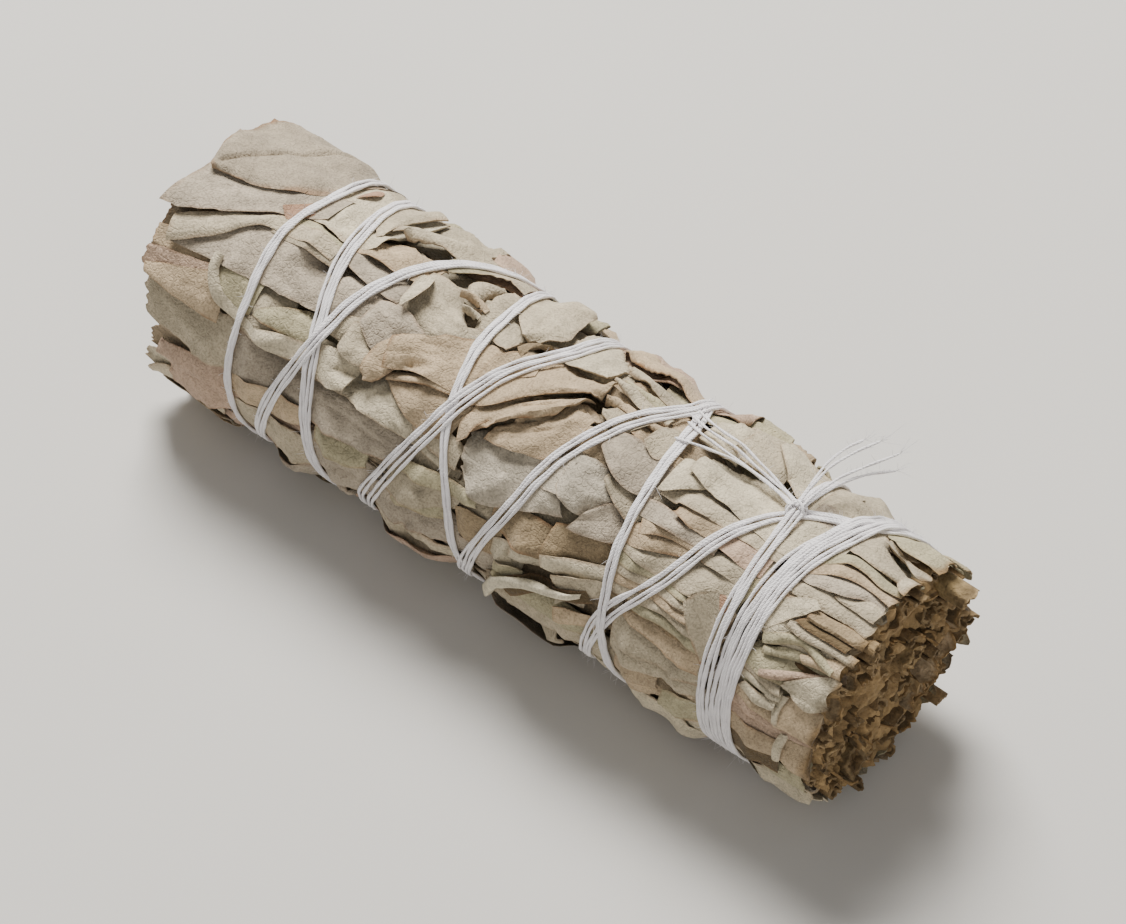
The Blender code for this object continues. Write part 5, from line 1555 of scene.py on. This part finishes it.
class SMUDGE_OT_stalks(bpy.types.Operator):
    """Cut the stalks, with leaf bases folded between them"""
    bl_idname = "smudge.stalks"
    bl_label = "Cut stalks"

    def execute(self, context):
        material = stalk_material()
        names = sorted(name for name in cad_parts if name.startswith("stalk_"))
        for number, name in enumerate(names, start=1):
            low, high = (np.array(corner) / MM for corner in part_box(name))
            item = make_piece(f"cut_{name}", *stalk_part(low, high, 300 + number), sharp=40.0)
            dress(item, material, "stalk", name)
        chance = np.random.default_rng(23)
        parts = []
        for ring, (middle, wave, pieces) in enumerate(RIBBON_RINGS):
            for step in range(pieces):
                start = 360.0 * (step + chance.uniform(0.0, 0.15)) / pieces
                angles = start + np.linspace(0.0, 360.0 / pieces * 0.93, int(300 / pieces))
                radii = middle + wave * np.cos(np.radians(12.0 * (angles - 20.0)))
                tone = pick(chance, "brown", "dark", "tan")
                parts.append(ribbon_part(angles, radii, 51.6 - chance.uniform(0.0, 1.8), tone,
                                         400 + 10 * ring + step))
        for ring, (middle, count) in enumerate(SCROLL_RINGS):
            for step in range(count):
                turn = math.tau * (step + chance.uniform(-0.3, 0.3)) / count
                reach = middle + chance.uniform(-0.4, 0.4)
                parts.append(scroll_part(reach * math.cos(turn), AXIS_HEIGHT + reach * math.sin(turn),
                                         chance.uniform(0.6, 1.25), 51.9 - chance.uniform(0.0, 1.9),
                                         600 + 40 * ring + step))
        parts.append(packed_part(*PACKED_FACE, 71))
        parts.append(stalk_part(*np.array(LONG_STALK), 72))
        item = make_piece("folded_leaf_bases", *join_parts(parts))
        item.data.materials.append(material)
        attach(item, "root")
        return {"FINISHED"}


class SMUDGE_OT_thread(bpy.types.Operator):
    """Wind the thread, and tie its knot and tails"""
    bl_idname = "smudge.thread"
    bl_label = "Cotton thread"

    def execute(self, context):
        settings = context.scene.smudge
        packing = packing_for(settings)
        diameter = settings.strand_diameter / MM
        colour = np.array(settings.thread_colour)
        winding_paths = thread_strands(packing, diameter)
        standing = [smooth_line(tail, 50) for tail in STANDING_TAILS]
        tails = [lying_tail(packing, tail) for tail in LYING_TAILS] + standing
        paths = winding_paths + tails + knot_paths(packing)
        parts = []
        for number, path in enumerate(paths):
            thickness = diameter if number < STRANDS else diameter * TAIL_SHARE
            points, faces, uv = tube(path, thickness / 2, 8, 1.6, 0.16)
            parts.append((points, faces, np.tile(colour, (len(points), 1)), uv))
        item = make_piece("cotton_winding", *join_parts(parts), sharp=0.0)
        dress(item, thread_material(), "thread", "thread")
        chance = np.random.default_rng(29)
        loose = fuzz_paths(winding_paths, settings.fuzz_count, chance)
        loose += fuzz_paths(tails, settings.fuzz_count // 10, chance)
        share = np.linspace(0, 1, 6)[:, None]
        for tail in standing:
            for _ in range(END_FIBRES):
                way = np.array((0.3, 0.8, 0.1)) + chance.normal(0, 0.35, 3)
                length = chance.uniform(0.8, 2.4)
                loose.append(tail[-1] + length * (way * share + chance.normal(0, 0.25, 3) * share**2))
        parts = []
        for path in loose:
            points, faces, uv = tube(path, FIBRE_RADIUS, 3)
            parts.append((points, faces, np.tile(colour, (len(points), 1)), uv))
        fuzz = make_piece("cotton_fuzz", *join_parts(parts), sharp=0.0)
        fuzz.data.materials.append(bpy.data.materials["cotton_thread"])
        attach(fuzz, "root")
        return {"FINISHED"}


# The camera: round from the front, up, lens and distance, and how far the bundle's middle stands off centre
CAMERA_TURN = 40.7
CAMERA_RISE = 50.5
CAMERA_LENS = 135.0
CAMERA_DISTANCE = 0.492
CAMERA_TARGET = (0.0, 0.0, 0.0161)
OFF_CENTRE = (-16.0, 5.0)

# Floor and lights, in metres: the floor's half-width, and each light's place and width
FLOOR_HALF = 1.5
KEY_LIGHT = ((-0.38, 0.33, 0.76), 0.4)
FILL_LIGHT = ((0.7, -0.5, 0.55), 0.8)
LIGHT_COLOUR = (1.0, 0.97, 0.92)
SKY_COLOUR = (1.0, 0.98, 0.95, 1.0)
SKY_STRENGTH = 0.28


class SMUDGE_OT_stage(bpy.types.Operator):
    """Set the floor, the lights and the camera"""
    bl_idname = "smudge.stage"
    bl_label = "Floor, lights and camera"

    def execute(self, context):
        settings = context.scene.smudge
        mesh = bpy.data.meshes.new("floor")
        corners = [(x * FLOOR_HALF, y * FLOOR_HALF, 0) for x, y in ((-1, -1), (1, -1), (1, 1), (-1, 1))]
        mesh.from_pydata(corners, [], [(0, 1, 2, 3)])
        floor = bpy.data.objects.new("floor", mesh)
        mesh.materials.append(floor_material(settings.floor_colour))
        context.scene.collection.objects.link(floor)
        self.light("key", *KEY_LIGHT, settings.key_power)
        self.light("fill", *FILL_LIGHT, settings.fill_power)
        world = bpy.data.worlds.new("studio")
        world.use_nodes = True
        background = world.node_tree.nodes["Background"]
        background.inputs["Color"].default_value = SKY_COLOUR
        background.inputs["Strength"].default_value = SKY_STRENGTH
        context.scene.world = world
        self.camera(context)
        return {"FINISHED"}

    def light(self, name, where, size, power):
        data = bpy.data.lights.new(name, "AREA")
        data.energy = power
        data.color = LIGHT_COLOUR
        data.size = size
        item = bpy.data.objects.new(name, data)
        item.location = where
        bpy.context.scene.collection.objects.link(item)
        item.rotation_euler = (-item.location).to_track_quat("-Z", "Y").to_euler()

    def camera(self, context):
        data = bpy.data.cameras.new("camera")
        data.lens = CAMERA_LENS
        data.sensor_width = 36.0
        data.clip_start = 0.01
        data.shift_x = -OFF_CENTRE[0] / IMAGE_WIDTH
        data.shift_y = -OFF_CENTRE[1] / IMAGE_WIDTH
        item = bpy.data.objects.new("camera", data)
        turn, rise = math.radians(CAMERA_TURN), math.radians(CAMERA_RISE)
        way = (math.sin(turn) * math.cos(rise), -math.cos(turn) * math.cos(rise), math.sin(rise))
        item.location = [t + CAMERA_DISTANCE * w for t, w in zip(CAMERA_TARGET, way)]
        item.rotation_euler = (math.pi / 2 - rise, 0.0, turn)
        context.scene.collection.objects.link(item)
        context.scene.camera = item


class SMUDGE_PT_panel(bpy.types.Panel):
    """The bundle's steps and settings"""
    bl_idname = "SMUDGE_PT_panel"
    bl_label = "Smudge bundle"
    bl_space_type = "VIEW_3D"
    bl_region_type = "UI"
    bl_category = "Smudge bundle"

    def draw(self, context):
        for step in STEPS:
            self.layout.operator(step.bl_idname)
        for name in SMUDGE_settings.__annotations__:
            self.layout.prop(context.scene.smudge, name)


STEPS = (SMUDGE_OT_stage, SMUDGE_OT_outer_leaves, SMUDGE_OT_inner_leaves, SMUDGE_OT_stalks, SMUDGE_OT_thread)
CLASSES = (SMUDGE_settings,) + STEPS + (SMUDGE_PT_panel,)


def register():
    for item in CLASSES:
        bpy.utils.register_class(item)
    bpy.types.Scene.smudge = PointerProperty(type=SMUDGE_settings)


def unregister():
    del bpy.types.Scene.smudge
    for item in reversed(CLASSES):
        bpy.utils.unregister_class(item)


def main():
    register()
    bpy.ops.smudge.stage()
    bpy.ops.smudge.outer_leaves()
    bpy.ops.smudge.inner_leaves()
    bpy.ops.smudge.stalks()
    bpy.ops.smudge.thread()


if __name__ == "__main__":
    main()
